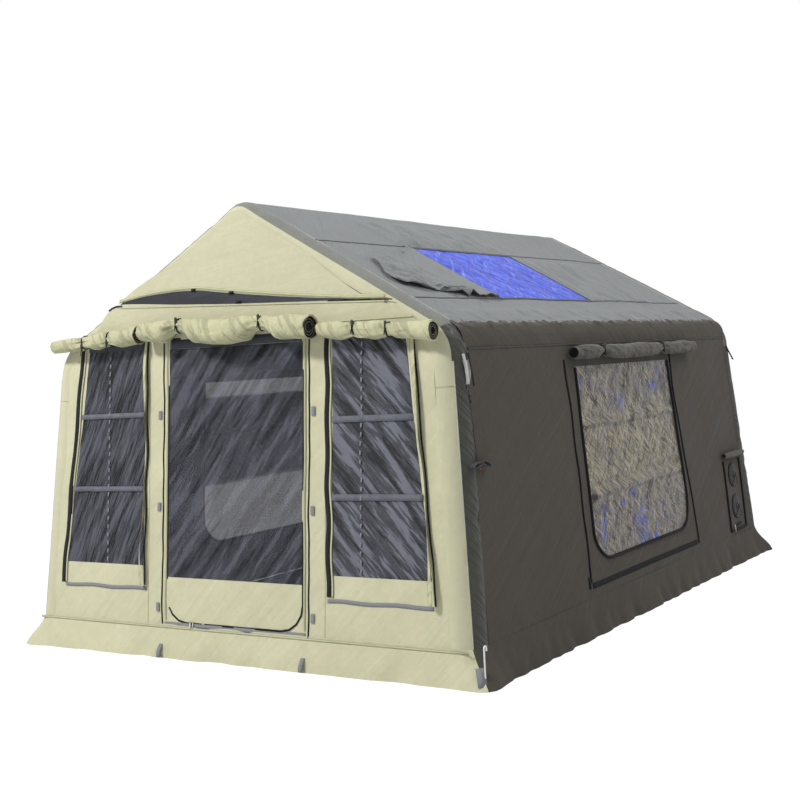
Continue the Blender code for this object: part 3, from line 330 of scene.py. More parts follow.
@dataclass
class Surface:
    """One wall or slope: where it lies and how its cloth is folded."""

    place: Callable[[float, float, float], Vector]
    read: Callable[[Vector], Spot]
    normal: Callable[[Vector], Vector]
    folds: Sequence[Relief]
    calm: Field = field(default=lambda a, b: 1.0)
    below: Surface | None = None

    def height(self, a: float, b: float) -> float:
        """How far the cloth stands out from its plane at a place."""
        own = self.calm(a, b) * sum(folds.at(a, b) for folds in self.folds)
        return own + (self.below.height(a, b) if self.below else 0.0)

    def folded(self, folds: Sequence[Relief], calm: Field) -> Surface:
        """This surface with more folds on it, where calm lets them stand."""
        return Surface(self.place, self.read, self.normal, folds, calm, self)

    def point(self, a: float, b: float, lift: float = 0.0) -> Vector:
        """A point on the folded cloth, lifted off it."""
        return self.place(a, b, lift + self.height(a, b))

    def press(self, bm: BMesh) -> None:
        """Gives a flat piece that lies on this surface the surface's folds."""
        for vert in bm.verts:
            vert.co += self.normal(vert.co) * self.height(*self.read(vert.co))


def smooth_path(points: Sequence[Vector], step: float) -> list[Vector]:
    """Points at even steps along straight runs between the given points.

    Args:
        points: The corners of the path.
        step: The longest step allowed.

    Returns:
        The corners and the points between them.
    """
    path = [points[0]]
    for start, end in zip(points, points[1:]):
        count = max(1, math.ceil((end - start).length / step))
        path += [start.lerp(end, k / count) for k in range(1, count + 1)]
    return path


def in_scene(name: str, data: bpy.types.ID) -> Object:
    """Makes an object and puts it in the scene."""
    made = bpy.data.objects.new(name, data)
    bpy.context.scene.collection.objects.link(made)
    return made


class Shape:
    """Meshes made with bmesh operators, each with a cloth map in metres."""

    @staticmethod
    def from_node(name: str) -> BMesh:
        """A merged copy of a frame node's mesh, in large flat faces."""
        bm = bmesh.new()
        bm.from_mesh(bpy.data.objects[name].data)
        bmesh.ops.remove_doubles(bm, verts=bm.verts, dist=1e-5)
        bmesh.ops.dissolve_limit(bm, angle_limit=0.01, verts=bm.verts, edges=bm.edges)
        return bm

    @staticmethod
    def slice(bm: BMesh, axis: Vector, step: float) -> None:
        """Cuts a mesh across an axis at even steps.

        Args:
            bm: The mesh to cut.
            axis: The direction along which the cuts follow each other.
            step: Distance between cuts.
        """
        reach = [vert.co.dot(axis) for vert in bm.verts]
        low, high = min(reach), max(reach)
        count = max(1, round((high - low) / step))
        rest = list(bm.faces)
        for k in range(1, count):
            at = low + (high - low) * k / count
            geom = list({v for f in rest for v in f.verts}) + list({e for f in rest for e in f.edges}) + rest
            cut = bmesh.ops.bisect_plane(bm, geom=geom, dist=1e-6, plane_co=axis * at, plane_no=axis)
            rest = [
                item for item in cut["geom"]
                if isinstance(item, BMFace) and item.calc_center_median().dot(axis) > at
            ]

    @staticmethod
    def skin(bm: BMesh, outward: Vector) -> None:
        """Leaves only the faces that look a certain way."""
        gone = [face for face in bm.faces if face.normal.dot(outward) < 0.2]
        bmesh.ops.delete(bm, geom=gone, context="FACES")

    @staticmethod
    def map_flat(bm: BMesh, across: Vector, up: Vector) -> None:
        """Lays a cloth map in metres on a flat piece."""
        layer = bm.loops.layers.uv.verify()
        for face in bm.faces:
            for loop in face.loops:
                loop[layer].uv = (loop.vert.co.dot(across), loop.vert.co.dot(up))

    @staticmethod
    def ribbon(path: Sequence[Vector], sides: Sequence[Vector] | Vector, width: float) -> BMesh:
        """A flat ribbon along a path.

        Args:
            path: The ribbon's middle line.
            sides: Its sideways direction, one for all points or one for each.
            width: Its width.

        Returns:
            A strip of faces whose map runs along and across it.
        """
        bm = bmesh.new()
        run, edge = bm.verts.layers.float.new("run"), bm.verts.layers.float.new("edge")
        sides = [sides] * len(path) if isinstance(sides, Vector) else sides
        for side in (-0.5, 0.5):
            chain = []
            for point, way, along in zip(path, sides, run_of(path)):
                vert = bm.verts.new(point + way.normalized() * width * side)
                vert[run], vert[edge] = along, side * width
                chain.append(vert)
            for pair in zip(chain, chain[1:]):
                bm.edges.new(pair)
        bmesh.ops.bridge_loops(bm, edges=bm.edges[:])
        layer = bm.loops.layers.uv.verify()
        for face in bm.faces:
            for loop in face.loops:
                loop[layer].uv = (loop.vert[run], loop.vert[edge])
        return bm

    @staticmethod
    def sweep(stations: Sequence[Matrix], sides: int, caps: bool = True,
              swell: Field = lambda run, turn: 0.0) -> BMesh:
        """Carries a circle through a row of places.

        Args:
            stations: One matrix for each ring, which places a unit circle.
            sides: Number of sides of the ring.
            caps: Whether the two ends are closed.
            swell: Share by which the ring grows, by distance along and angle round.

        Returns:
            A tube whose map runs along it and round it, in metres.
        """
        bm = bmesh.new()
        turn, run = bm.verts.layers.float.new("turn"), bm.verts.layers.float.new("run")
        circle = bmesh.ops.create_circle(bm, cap_ends=caps, segments=sides, radius=1)["verts"]
        for vert in circle:
            vert[turn] = math.atan2(vert.co.y, vert.co.x)
        edges = list({edge for vert in circle for edge in vert.link_edges})
        bmesh.ops.transform(bm, matrix=stations[0], verts=circle)
        verts, far, rings = circle, 0.0, [(circle, stations[0].translation)]
        girth = stations[len(stations) // 2].to_scale().x
        for before, after in zip(stations, stations[1:]):
            ring = bmesh.ops.extrude_edge_only(bm, edges=edges)["geom"]
            verts = [item for item in ring if isinstance(item, BMVert)]
            edges = [item for item in ring if isinstance(item, BMEdge)]
            edges = [edge for edge in edges if all(vert in set(verts) for vert in edge.verts)]
            far += (after.translation - before.translation).length
            for vert in verts:
                old = next(e.other_vert(vert) for e in vert.link_edges if e not in edges)
                vert[turn], vert[run] = old[turn], far
            bmesh.ops.transform(bm, matrix=after @ before.inverted(), verts=verts)
            rings.append((verts, after.translation))
        for ring, centre in rings:
            for vert in ring:
                vert.co = centre + (vert.co - centre) * (1 + swell(vert[run], vert[turn]))
        if caps:
            bmesh.ops.contextual_create(bm, geom=edges)
        layer = bm.loops.layers.uv.verify()
        for face in bm.faces:
            middle = [loop.vert[turn] for loop in face.loops]
            for loop in face.loops:
                angle = loop.vert[turn]
                if max(middle) - angle > math.pi:
                    angle += 2 * math.pi
                loop[layer].uv = (loop.vert[run], angle * girth)
        bmesh.ops.recalc_face_normals(bm, faces=bm.faces)
        return bm

    @staticmethod
    def cord(points: Sequence[Vector], radius: float, cyclic: bool = False,
             resolution: int = 3) -> BMesh:
        """A round cord along a path.

        Args:
            points: The cord's middle line.
            radius: Its radius.
            cyclic: Whether it closes on itself.
            resolution: Smoothness of its section.

        Returns:
            The cord's mesh.
        """
        data = Shape.cord_curve(points, radius, cyclic, resolution)
        holder = bpy.data.objects.new("cord_shape", data)
        bm = bmesh.new()
        bm.from_mesh(holder.to_mesh())
        bpy.data.objects.remove(holder)
        bpy.data.curves.remove(data)
        bmesh.ops.remove_doubles(bm, verts=bm.verts, dist=1e-5)
        return bm

    @staticmethod
    def cord_curve(points: Sequence[Vector], radius: float, cyclic: bool, resolution: int) -> bpy.types.Curve:
        """The curve of a round cord."""
        data = bpy.data.curves.new("cord", "CURVE")
        data.dimensions = "3D"
        data.bevel_depth, data.bevel_resolution, data.use_fill_caps = radius, resolution, True
        spline = data.splines.new("POLY")
        spline.points.add(len(points) - 1)
        spline.use_cyclic_u = cyclic
        for target, point in zip(spline.points, points):
            target.co = (*point, 1)
        return data

    @staticmethod
    def block(centre: Vector, axes: Sequence[Vector], size: Sequence[float],
              round_by: float) -> BMesh:
        """A block with rounded edges.

        Args:
            centre: Its middle.
            axes: Its three directions.
            size: Its length in each direction.
            round_by: Width of its rounded edges.

        Returns:
            The block's mesh.
        """
        bm = bmesh.new()
        verts = bmesh.ops.create_cube(bm, size=1)["verts"]
        bmesh.ops.scale(bm, vec=Vector(size), verts=verts)
        bmesh.ops.bevel(bm, geom=bm.edges[:], offset=round_by, offset_type="OFFSET", segments=3,
                        profile=0.5, affect="EDGES", material=-1, clamp_overlap=True)
        turn = Matrix([axis.normalized() for axis in axes]).transposed().to_4x4()
        bmesh.ops.transform(bm, matrix=Matrix.Translation(centre) @ turn, verts=bm.verts)
        return bm

    @staticmethod
    def spun(centre: Vector, axis: Vector, profile: Sequence[Spot], steps: int = 32) -> BMesh:
        """A turned shape.

        Args:
            centre: Where the profile's distances start.
            axis: The direction of its axis.
            profile: Its outline, as distance along the axis and radius.
            steps: Steps round it.

        Returns:
            The shape's mesh.
        """
        bm = bmesh.new()
        axis = axis.normalized()
        side = axis.orthogonal().normalized()
        verts = [bm.verts.new(centre + axis * along + side * radius) for along, radius in profile]
        edges = [bm.edges.new(pair) for pair in zip(verts, verts[1:])]
        bmesh.ops.spin(bm, geom=verts + edges, cent=centre, axis=axis, angle=2 * math.pi,
                       steps=steps, use_merge=True)
        bmesh.ops.remove_doubles(bm, verts=bm.verts, dist=1e-5)
        bmesh.ops.recalc_face_normals(bm, faces=bm.faces)
        return bm


def run_of(path: Sequence[Vector]) -> list[float]:
    """How far along a path each of its points lies."""
    far = [0.0]
    for before, after in zip(path, path[1:]):
        far.append(far[-1] + (after - before).length)
    return far


def on_ring(station: Matrix, angle: float, share: float, ahead: float = 0.0) -> Vector:
    """A point at an angle round a ring, at a share of its radius."""
    return station @ Vector((math.cos(angle) * share, math.sin(angle) * share, ahead))


class Graph:
    """A short way to add nodes to a shader tree."""

    def __init__(self, tree: NodeTree) -> None:
        """Keeps the tree that the nodes go into."""
        self.tree = tree

    def add(self, kind: str, settings: dict[str, object] | None = None, **values: object) -> Node:
        """Adds one node.

        Args:
            kind: The node's type, without its prefix.
            settings: Properties of the node.
            values: Socket values or sources; an underscore stands for a space.

        Returns:
            The new node.
        """
        node = self.tree.nodes.new(f"ShaderNode{kind}")
        for key, value in (settings or {}).items():
            setattr(node, key, value)
        self.set(node, **values)
        return node

    def set(self, node: Node, **values: object) -> None:
        """Feeds a node's sockets by name; an underscore stands for a space."""
        for key, value in values.items():
            self.feed(node.inputs[key.replace("_", " ")], value)

    def feed(self, socket: NodeSocket, value: object) -> None:
        """Links a socket to another, or sets its plain value."""
        if isinstance(value, NodeSocket):
            self.tree.links.new(value, socket)
        else:
            socket.default_value = value

    def math(self, kind: str, *values: object) -> NodeSocket:
        """Adds a Math node and gives its result."""
        node = self.add("Math", {"operation": kind})
        for socket, value in zip(node.inputs, values):
            self.feed(socket, value)
        return node.outputs[0]

    def vector(self, kind: str, *values: object) -> NodeSocket:
        """Adds a Vector Math node and gives its result."""
        node = self.add("VectorMath", {"operation": kind})
        for socket, value in zip(node.inputs, values):
            self.feed(socket, value)
        return node.outputs[0]

    def mix(self, factor: object, first: object, second: object) -> NodeSocket:
        """Mixes two colours and gives the result."""
        node = self.add("Mix", {"data_type": "RGBA"})
        for socket, value in zip((node.inputs[0], node.inputs[6], node.inputs[7]), (factor, first, second)):
            self.feed(socket, value)
        return node.outputs[2]

    def ramp(self, value: object, low: float, high: float) -> NodeSocket:
        """Spreads a value so that low gives 0 and high gives 1."""
        return self.add("MapRange", {"interpolation_type": "SMOOTHSTEP"},
                        Value=value, From_Min=low, From_Max=high).outputs["Result"]

    def noise(self, vector: object, scale: float, detail: float = 3.0, rough: float = 0.5) -> NodeSocket:
        """Adds a noise texture and gives its value."""
        return self.add("TexNoise", Vector=vector, Scale=scale, Detail=detail, Roughness=rough).outputs["Fac"]


class Effects:
    """Shader groups that several finishes share, each made once."""

    def __init__(self) -> None:
        """Makes the groups."""
        self.weave = self.make("woven_threads", ("Pitch",), ("Height",), self.fill_weave)
        self.wear = self.make("cloth_wear", ("Scale",), ("Fade", "Specks"), self.fill_wear)
        self.crease = self.make("crumpled", ("Scale", "Sharpness"), ("Height", "Facets"), self.fill_crease)
        self.pulled = self.make("pulled_folds", ("Turn", "Pitch"), ("Height",), self.fill_pulled)

    @staticmethod
    def make(name: str, inputs: Sequence[str], outputs: Sequence[str],
             fill: Callable[[Graph, Sockets], dict[str, object]]) -> NodeTree:
        """Makes one shader group.

        Args:
            name: The group's name.
            inputs: Its number inputs, which follow the vector of the place.
            outputs: Its number outputs.
            fill: Adds the nodes and gives a source for each output.

        Returns:
            The group.
        """
        tree = bpy.data.node_groups.new(name, "ShaderNodeTree")
        tree.interface.new_socket("Vector", in_out="INPUT", socket_type="NodeSocketVector")
        for way, names in (("INPUT", inputs), ("OUTPUT", outputs)):
            for key in names:
                tree.interface.new_socket(key, in_out=way, socket_type="NodeSocketFloat")
        graph = Graph(tree)
        entry, leave = tree.nodes.new("NodeGroupInput"), tree.nodes.new("NodeGroupOutput")
        for key, source in fill(graph, entry.outputs).items():
            tree.links.new(source, leave.inputs[key])
        return tree

    @staticmethod
    def fill_weave(graph: Graph, entry: Sockets) -> dict[str, object]:
        """Threads that pass over and under each other."""
        pitch = graph.add("CombineXYZ", X=entry["Pitch"], Y=entry["Pitch"], Z=entry["Pitch"]).outputs[0]
        axes = graph.add("SeparateXYZ", Vector=graph.vector("DIVIDE", entry["Vector"], pitch)).outputs
        waves = [graph.math("SINE", graph.math("MULTIPLY", axes[k], math.pi)) for k in (0, 1)]
        over = [graph.math("ABSOLUTE", wave) for wave in waves]
        return {"Height": graph.math("ABSOLUTE", graph.math("SUBTRACT", over[0], over[1]))}

    @staticmethod
    def fill_wear(graph: Graph, entry: Sockets) -> dict[str, object]:
        """Slow changes of tone, and fine dust."""
        tone = graph.noise(entry["Vector"], 1.0, 4.0, 0.6)
        graph.feed(tone.node.inputs["Scale"], entry["Scale"])
        specks = graph.noise(entry["Vector"], 900.0, 2.0)
        return {"Fade": graph.ramp(tone, 0.3, 0.7), "Specks": graph.ramp(specks, 0.35, 0.7)}

    @staticmethod
    def fill_crease(graph: Graph, entry: Sockets) -> dict[str, object]:
        """Angular crumples between flat facets."""
        warp = graph.add("TexNoise", Vector=entry["Vector"], Scale=entry["Scale"], Detail=2.0)
        bent = graph.vector("MULTIPLY_ADD", warp.outputs["Color"], Vector((0.05, 0.05, 0.05)),
                            entry["Vector"])
        cells = graph.add("TexVoronoi", {"feature": "SMOOTH_F1"}, Vector=bent, Scale=entry["Scale"],
                          Smoothness=0.15)
        ridge = graph.add("TexNoise", {"noise_type": "RIDGED_MULTIFRACTAL"}, Vector=bent,
                          Scale=entry["Scale"], Detail=2.0)
        height = graph.add("Mix", {"data_type": "FLOAT"})
        for place, value in ((0, entry["Sharpness"]), (2, cells.outputs["Distance"]), (3, ridge.outputs[0])):
            graph.feed(height.inputs[place], value)
        return {"Height": height.outputs[0], "Facets": cells.outputs["Distance"]}

    @staticmethod
    def fill_pulled(graph: Graph, entry: Sockets) -> dict[str, object]:
        """Long folds side by side, as where a cloth is pulled."""
        turn = graph.add("CombineXYZ", Z=entry["Turn"]).outputs[0]
        laid = graph.add("Mapping", Vector=entry["Vector"], Rotation=turn).outputs[0]
        across = graph.math("DIVIDE", 1.0, entry["Pitch"])
        scale = graph.add("CombineXYZ", X=graph.math("MULTIPLY", across, 0.09), Y=across).outputs[0]
        wave = graph.noise(graph.vector("MULTIPLY", laid, scale), 1.0, 3.0, 0.6)
        return {"Height": graph.ramp(wave, 0.28, 0.72)}


Colour = tuple[float, float, float]
TAPE_STEP = 0.02


def toned(colour: Colour, share: float = 1.0, more: float = 0.0) -> tuple[float, ...]:
    """A colour made darker or lighter by a share, with its alpha."""
    return (*(min(1, part * share + more) for part in colour), 1)


@dataclass(frozen=True)
class Finish:
    """A surface finish: its colours and how rough it is."""

    name: str
    slot: str
    colour: Colour
    second: Colour
    roughness: float = 0.8

    def material(self, effects: Effects) -> bpy.types.Material:
        """The finish's material, made on first use."""
        found = bpy.data.materials.get(self.name)
        if found:
            return found
        made = bpy.data.materials.new(self.name)
        made.use_nodes = True
        graph = Graph(made.node_tree)
        self.dress(graph, made.node_tree.nodes["Principled BSDF"], effects)
        return made

    def dress(self, graph: Graph, shader: Node, effects: Effects) -> None:
        """Adds the finish's nodes.

        Args:
            graph: The material's tree.
            shader: Its Principled shader.
            effects: The shared shader groups.
        """
        raise NotImplementedError

    @staticmethod
    def place(graph: Graph, coords: Coords) -> NodeSocket:
        """The coordinates that the finish's pattern reads."""
        return graph.add("TexCoord").outputs[coords.value]

    @staticmethod
    def group(graph: Graph, tree: NodeTree, **values: object) -> Node:
        """Places a shared group in the material."""
        return graph.add("Group", {"node_tree": tree}, **values)

    def pulls(self, graph: Graph, effects: Effects, turn: float, pitch: float) -> NodeSocket:
        """The height of long folds that lie at an angle in the cloth."""
        cloth = self.place(graph, Coords.UV)
        folds = self.group(graph, effects.pulled, Vector=cloth, Turn=-math.radians(turn), Pitch=pitch)
        return folds.outputs["Height"]

    @staticmethod
    def bump(graph: Graph, height: object, depth: float, normal: object | None = None) -> NodeSocket:
        """Turns a height in units of depth metres into a normal."""
        node = graph.add("Bump", Height=height, Distance=depth)
        if normal is not None:
            graph.feed(node.inputs["Normal"], normal)
        return node.outputs[0]


@dataclass(frozen=True)
class ClothFinish(Finish):
    """A coated woven cloth with fine creases and a slow change of tone."""

    pitch: float = 0.0011
    weave: float = 0.00012
    crease_scale: float = 26.0
    crease: float = 0.0016
    sheen: float = 0.15
    stitches: float = 0.0
    pull_turn: float = 40.0
    pull_pitch: float = 0.045
    pull: float = 0.0015
    # Strength of the painted shade in the hollows of the long folds.
    hollows: float = 0.0

    def dress(self, graph: Graph, shader: Node, effects: Effects) -> None:
        """Adds the cloth's colour, weave, creases and stitches, with painted shade in its creases and in the
        hollows of its long folds.
        """
        here, cloth = self.place(graph, Coords.OBJECT), self.place(graph, Coords.UV)
        wear = self.group(graph, effects.wear, Vector=here, Scale=3.5)
        creases = self.group(graph, effects.crease, Vector=here, Scale=self.crease_scale, Sharpness=0.55)
        weave = self.group(graph, effects.weave, Vector=cloth, Pitch=self.pitch)
        tone = graph.math("MULTIPLY_ADD", wear.outputs["Fade"], 0.75, 0.12)
        colour = graph.mix(tone, toned(self.second), toned(self.colour))
        dust = graph.math("MULTIPLY", wear.outputs["Specks"], 0.10)
        colour = graph.mix(dust, colour, toned(self.colour, 1.5, 0.03))
        # Painted shade: the colour darkens in the valleys of the creases.
        shade = graph.math("MULTIPLY", graph.ramp(creases.outputs["Height"], 0.55, 0.1), 0.10)
        colour = graph.mix(shade, colour, toned(self.colour, 0.55))
        folds = self.pulls(graph, effects, self.pull_turn, self.pull_pitch)
        # Painted shade: the colour darkens in the hollows between the long folds.
        deep = graph.math("MULTIPLY", graph.ramp(folds, 0.42, 0.26), self.hollows)
        colour = graph.mix(deep, colour, toned(self.colour, 0.32))
        normal = self.bump(graph, creases.outputs["Height"], self.crease)
        normal = self.bump(graph, folds, self.pull, normal)
        normal = self.bump(graph, weave.outputs["Height"], self.weave, normal)
        if self.stitches:
            stitch = self.stitch_mask(graph, cloth)
            colour = graph.mix(stitch, colour, toned(self.colour, 0.45))
            normal = self.bump(graph, stitch, -0.0006, normal)
        rough = graph.math("MULTIPLY_ADD", wear.outputs["Fade"], 0.10, self.roughness - 0.05)
        graph.set(shader, Base_Color=colour, Roughness=rough, Normal=normal, Sheen_Weight=self.sheen,
                  Sheen_Roughness=0.5, Specular_IOR_Level=0.3)

    def stitch_mask(self, graph: Graph, cloth: NodeSocket) -> NodeSocket:
        """Two rows of stitches along the middle of a seam."""
        axes = graph.add("SeparateXYZ", Vector=cloth).outputs
        across = graph.math("ABSOLUTE",
                            graph.math("SUBTRACT", graph.math("ABSOLUTE", axes[1]), self.stitches))
        row = graph.math("LESS_THAN", across, 0.0009)
        dash = graph.math("LESS_THAN", graph.math("FRACT", graph.math("DIVIDE", axes[0], 0.0050)), 0.7)
        return graph.math("MULTIPLY", row, dash)


@dataclass(frozen=True)
class NetFinish(Finish):
    """Fine insect netting, drawn into slanting folds, which lets some light through."""

    cover: float = 0.85
    pitch: float = 0.0014
    turn: float = -50.0
    spread: float = 0.045
    pull: float = 0.006
    # Strengths of the painted highlight on the fold ridges and of the painted shade in their hollows.
    shine: float = 0.9
    shade: float = 0.9

    def dress(self, graph: Graph, shader: Node, effects: Effects) -> None:
        """Adds the net's threads, its folds with painted highlights on their ridges and painted shade in
        their hollows, its tone and the light that passes.
        """
        here, cloth = self.place(graph, Coords.OBJECT), self.place(graph, Coords.UV)
        wear = self.group(graph, effects.wear, Vector=here, Scale=5.0)
        weave = self.group(graph, effects.weave, Vector=cloth, Pitch=self.pitch)
        folds = [self.pulls(graph, effects, self.turn + lean, self.spread * size)
                 for lean, size in ((0, 1.0), (9, 0.4))]
        height = graph.math("MULTIPLY_ADD", folds[1], 0.55, folds[0])
        # Painted highlight on the ridges of the folds, and painted shade in their hollows.
        shine = graph.math("MULTIPLY", graph.ramp(height, 0.84, 1.06), self.shine)
        shade = graph.math("MULTIPLY", graph.ramp(height, 0.66, 0.46), self.shade)
        fade_share = graph.math("MULTIPLY", wear.outputs["Fade"], 0.5)
        colour = graph.mix(fade_share, toned(self.colour), toned(self.second))
        colour = graph.mix(shine, colour, toned(self.second, 2.6))
        colour = graph.mix(shade, colour, toned(self.colour, 0.22))
        normal = self.bump(graph, height, self.pull)
        graph.set(shader, Base_Color=colour, Alpha=self.cover, Roughness=self.roughness, Sheen_Weight=0.25,
                  Normal=self.bump(graph, weave.outputs["Height"], 0.0002, normal), Sheen_Roughness=0.35,
                  Specular_IOR_Level=0.3)


@dataclass(frozen=True)
class FilmFinish(Finish):
    """Soft vinyl film, creased by packing, with painted sky reflections in patches, painted highlights and
    painted shade along its creases.
    """

    # Colours of the painted crease shade, the painted highlights and the painted sky reflection.
    dark: Colour = (0.03, 0.026, 0.03)
    bright: Colour = (0.50, 0.44, 0.27)
    sky: Colour = (0.04, 0.07, 0.55)
    sky_share: float = 0.22
    grain: float = 14.0
    crumple: float = 0.006
    alpha: float = 1.0
    lines: float = 0.78
    rows: tuple[float, ...] = (1.085, 0.70)
    pitch: float = 0.014
    low_zone: Spot = (0.80, 0.60)
    high_zone: Spot = (1.10, 1.28)

    def dress(self, graph: Graph, shader: Node, effects: Effects) -> None:
        """Adds the film's crumpled facets, its tones, its painted sky reflections and its painted highlights
        and crease shade.
        """
        here = self.place(graph, Coords.OBJECT)
        coarse = self.group(graph, effects.crease, Vector=here, Scale=self.grain, Sharpness=0.4)
        fine = self.group(graph, effects.crease, Vector=here, Scale=self.grain * 3, Sharpness=0.7)
        height = graph.add("SeparateXYZ", Vector=here).outputs["Z"]
        low, high = graph.ramp(height, *self.low_zone), graph.ramp(height, *self.high_zone)
        zone = graph.math("MAXIMUM", low, high)
        base = graph.ramp(graph.noise(here, self.grain * 0.4, 4.0, 0.7), 0.36, 0.64)
        base = graph.math("MULTIPLY_ADD", zone, 0.45, graph.math("MULTIPLY", base, 0.7))
        colour = graph.mix(base, toned(self.colour), toned(self.second))
        # Painted reflection: blue patches of reflected sky, only within the zones.
        patch = graph.noise(here, 3.1, 5.0, 0.75)
        graph.feed(patch.node.inputs["Distortion"], 1.2)
        sky = graph.ramp(patch, 0.64 - self.sky_share * 0.5, 0.72 - self.sky_share * 0.5)
        colour = graph.mix(graph.math("MULTIPLY", sky, zone), colour, toned(self.sky))
        # Painted shade: dark lines along the level creases.
        for row in self.rows:
            off = graph.math("MULTIPLY_ADD", patch, 0.10, graph.math("ADD", height, -row - 0.05))
            line = graph.ramp(graph.math("ABSOLUTE", off), 0.016, 0.005)
            colour = graph.mix(graph.math("MULTIPLY", line, 0.8), colour, toned(self.dark))
        # Painted shade and painted highlights: dark and light streaks along the crinkles.
        for tone, turn, start, end in ((self.dark, 52.0, 0.46, 0.34), (self.bright, 58.0, 0.72, 0.95),
                                       (self.dark, -34.0, 0.42, 0.30), (self.bright, -40.0, 0.76, 0.98),
                                       (self.bright, 84.0, 0.80, 1.00)):
            streak = self.pulls(graph, effects, turn, self.pitch)
            line = graph.math("MULTIPLY", graph.ramp(streak, start, end), self.lines)
            colour = graph.mix(line, colour, toned(tone))
        normal = self.bump(graph, coarse.outputs["Height"], self.crumple)
        graph.set(shader, Base_Color=colour, Specular_IOR_Level=0.25,
                  Normal=self.bump(graph, fine.outputs["Height"], self.crumple / 3, normal),
                  Roughness=graph.math("MULTIPLY_ADD", fine.outputs["Facets"], 0.15, self.roughness),
                  Alpha=graph.math("MULTIPLY_ADD", zone, self.alpha - 1, 1.0))


@dataclass(frozen=True)
class SolidFinish(Finish):
    """Moulded plastic, coated metal or rubber with worn, slightly uneven skin."""

    metallic: float = 0.0
    grain: float = 400.0

    def dress(self, graph: Graph, shader: Node, effects: Effects) -> None:
        """Adds the surface's grain and its scuffs."""
        here = self.place(graph, Coords.OBJECT)
        wear = self.group(graph, effects.wear, Vector=here, Scale=30.0)
        share = graph.math("MULTIPLY", wear.outputs["Fade"], 0.6)
        graph.set(shader, Base_Color=graph.mix(share, toned(self.colour), toned(self.second)),
                  Roughness=graph.math("MULTIPLY_ADD", wear.outputs["Specks"], 0.12, self.roughness),
                  Normal=self.bump(graph, graph.noise(here, self.grain, 2.0), 0.0002), Metallic=self.metallic)


@dataclass(frozen=True)
class WebbingFinish(Finish):
    """Woven webbing or braided cord, with ribs across its run."""

    rib: float = 0.0016

    def dress(self, graph: Graph, shader: Node, effects: Effects) -> None:
        """Adds the ribs and the tone of the yarn."""
        cloth = self.place(graph, Coords.UV)
        here = self.place(graph, Coords.OBJECT)
        weave = self.group(graph, effects.weave, Vector=cloth, Pitch=self.rib)
        wear = self.group(graph, effects.wear, Vector=here, Scale=25.0)
        share = graph.math("MULTIPLY", wear.outputs["Fade"], 0.4)
        tone = graph.math("MULTIPLY_ADD", weave.outputs["Height"], 0.5, share)
        graph.set(shader, Base_Color=graph.mix(tone, toned(self.colour), toned(self.second)),
                  Roughness=graph.math("MULTIPLY_ADD", wear.outputs["Specks"], 0.1, self.roughness),
                  Normal=self.bump(graph, weave.outputs["Height"], 0.0005), Sheen_Weight=0.03,
                  Specular_IOR_Level=0.12)


# The lower front's khaki darkened by a twentieth: painted shade for the header and gable, and also used on
# the rear wall and the arch sleeves.
KHAKI = ClothFinish("khaki_cloth", "khaki_fabric", (0.525, 0.51, 0.345), (0.475, 0.46, 0.305), crease=0.002,
                    pull_turn=8, pull_pitch=0.08)
KHAKI_LOW = ClothFinish("khaki_lower_cloth", "khaki_fabric", (0.55, 0.535, 0.36), (0.49, 0.475, 0.31),
                        pull_turn=48.0, pull_pitch=0.11, pull=0.004)
# Paints shade in the hollows of its folds.
KHAKI_ROLLED = ClothFinish("khaki_rolled_cloth", "khaki_fabric", (0.52, 0.51, 0.315), (0.40, 0.39, 0.235),
                           crease_scale=30.0, crease=0.006, pull_turn=58, pull_pitch=0.040, pull=0.005,
                           hollows=0.40)
KHAKI_SEAM = ClothFinish("khaki_seam", "khaki_fabric", (0.52, 0.51, 0.32), (0.46, 0.45, 0.28), stitches=0.005)
GREY = ClothFinish("grey_roof_cloth", "grey_fabric", (0.192, 0.202, 0.197), (0.154, 0.164, 0.162),
                   crease=0.003, pull_turn=-42, pull_pitch=0.07, pull=0.004)
# Paints shade in the hollows of its folds.
GREY_ROLLED = ClothFinish("grey_rolled_cloth", "grey_fabric", (0.13, 0.125, 0.098), (0.05, 0.047, 0.037),
                          crease_scale=26.0, crease=0.006, pull_turn=20, pull_pitch=0.03, pull=0.006,
                          hollows=0.6)
OLIVE_ROLLED = ClothFinish("olive_rolled_cloth", "olive_fabric", (0.09, 0.085, 0.065), (0.05, 0.047, 0.036),
                           crease_scale=30.0, crease=0.004)
GREY_SEAM = ClothFinish("grey_seam", "grey_fabric", (0.075, 0.080, 0.078), (0.06, 0.062, 0.06),
                        stitches=0.005)
BAND = ClothFinish("arch_band_cloth", "grey_fabric", (0.200, 0.202, 0.175), (0.165, 0.168, 0.147),
                   crease=0.003)
OLIVE = ClothFinish("dark_wall_cloth", "olive_fabric", (0.056, 0.047, 0.035), (0.047, 0.040, 0.030),
                    sheen=0.08, pull_turn=30, pull_pitch=0.09, pull=0.003)
OLIVE_SEAM = ClothFinish("dark_wall_seam", "olive_fabric", (0.040, 0.037, 0.030), (0.03, 0.028, 0.024),
                         stitches=0.005)
STRIP = ClothFinish("column_side_cloth", "olive_fabric", (0.075, 0.075, 0.062), (0.045, 0.045, 0.037),
                    crease=0.005, pull_turn=-50, pull_pitch=0.03, pull=0.008)
PIPING = ClothFinish("white_piping", "grey_webbing", (0.66, 0.66, 0.60), (0.55, 0.55, 0.50))
NET = NetFinish("window_net", "insect_mesh", (0.041, 0.043, 0.054), (0.072, 0.075, 0.090), 0.6, cover=0.92,
                spread=0.052, pull=0.012, shine=0.75)
VENT_NET = NetFinish("vent_net", "insect_mesh", (0.035, 0.037, 0.046), (0.05, 0.053, 0.063), 0.8, cover=0.97,
                     turn=5.0, spread=0.2, pull=0.001, shine=0.1, shade=0.3)
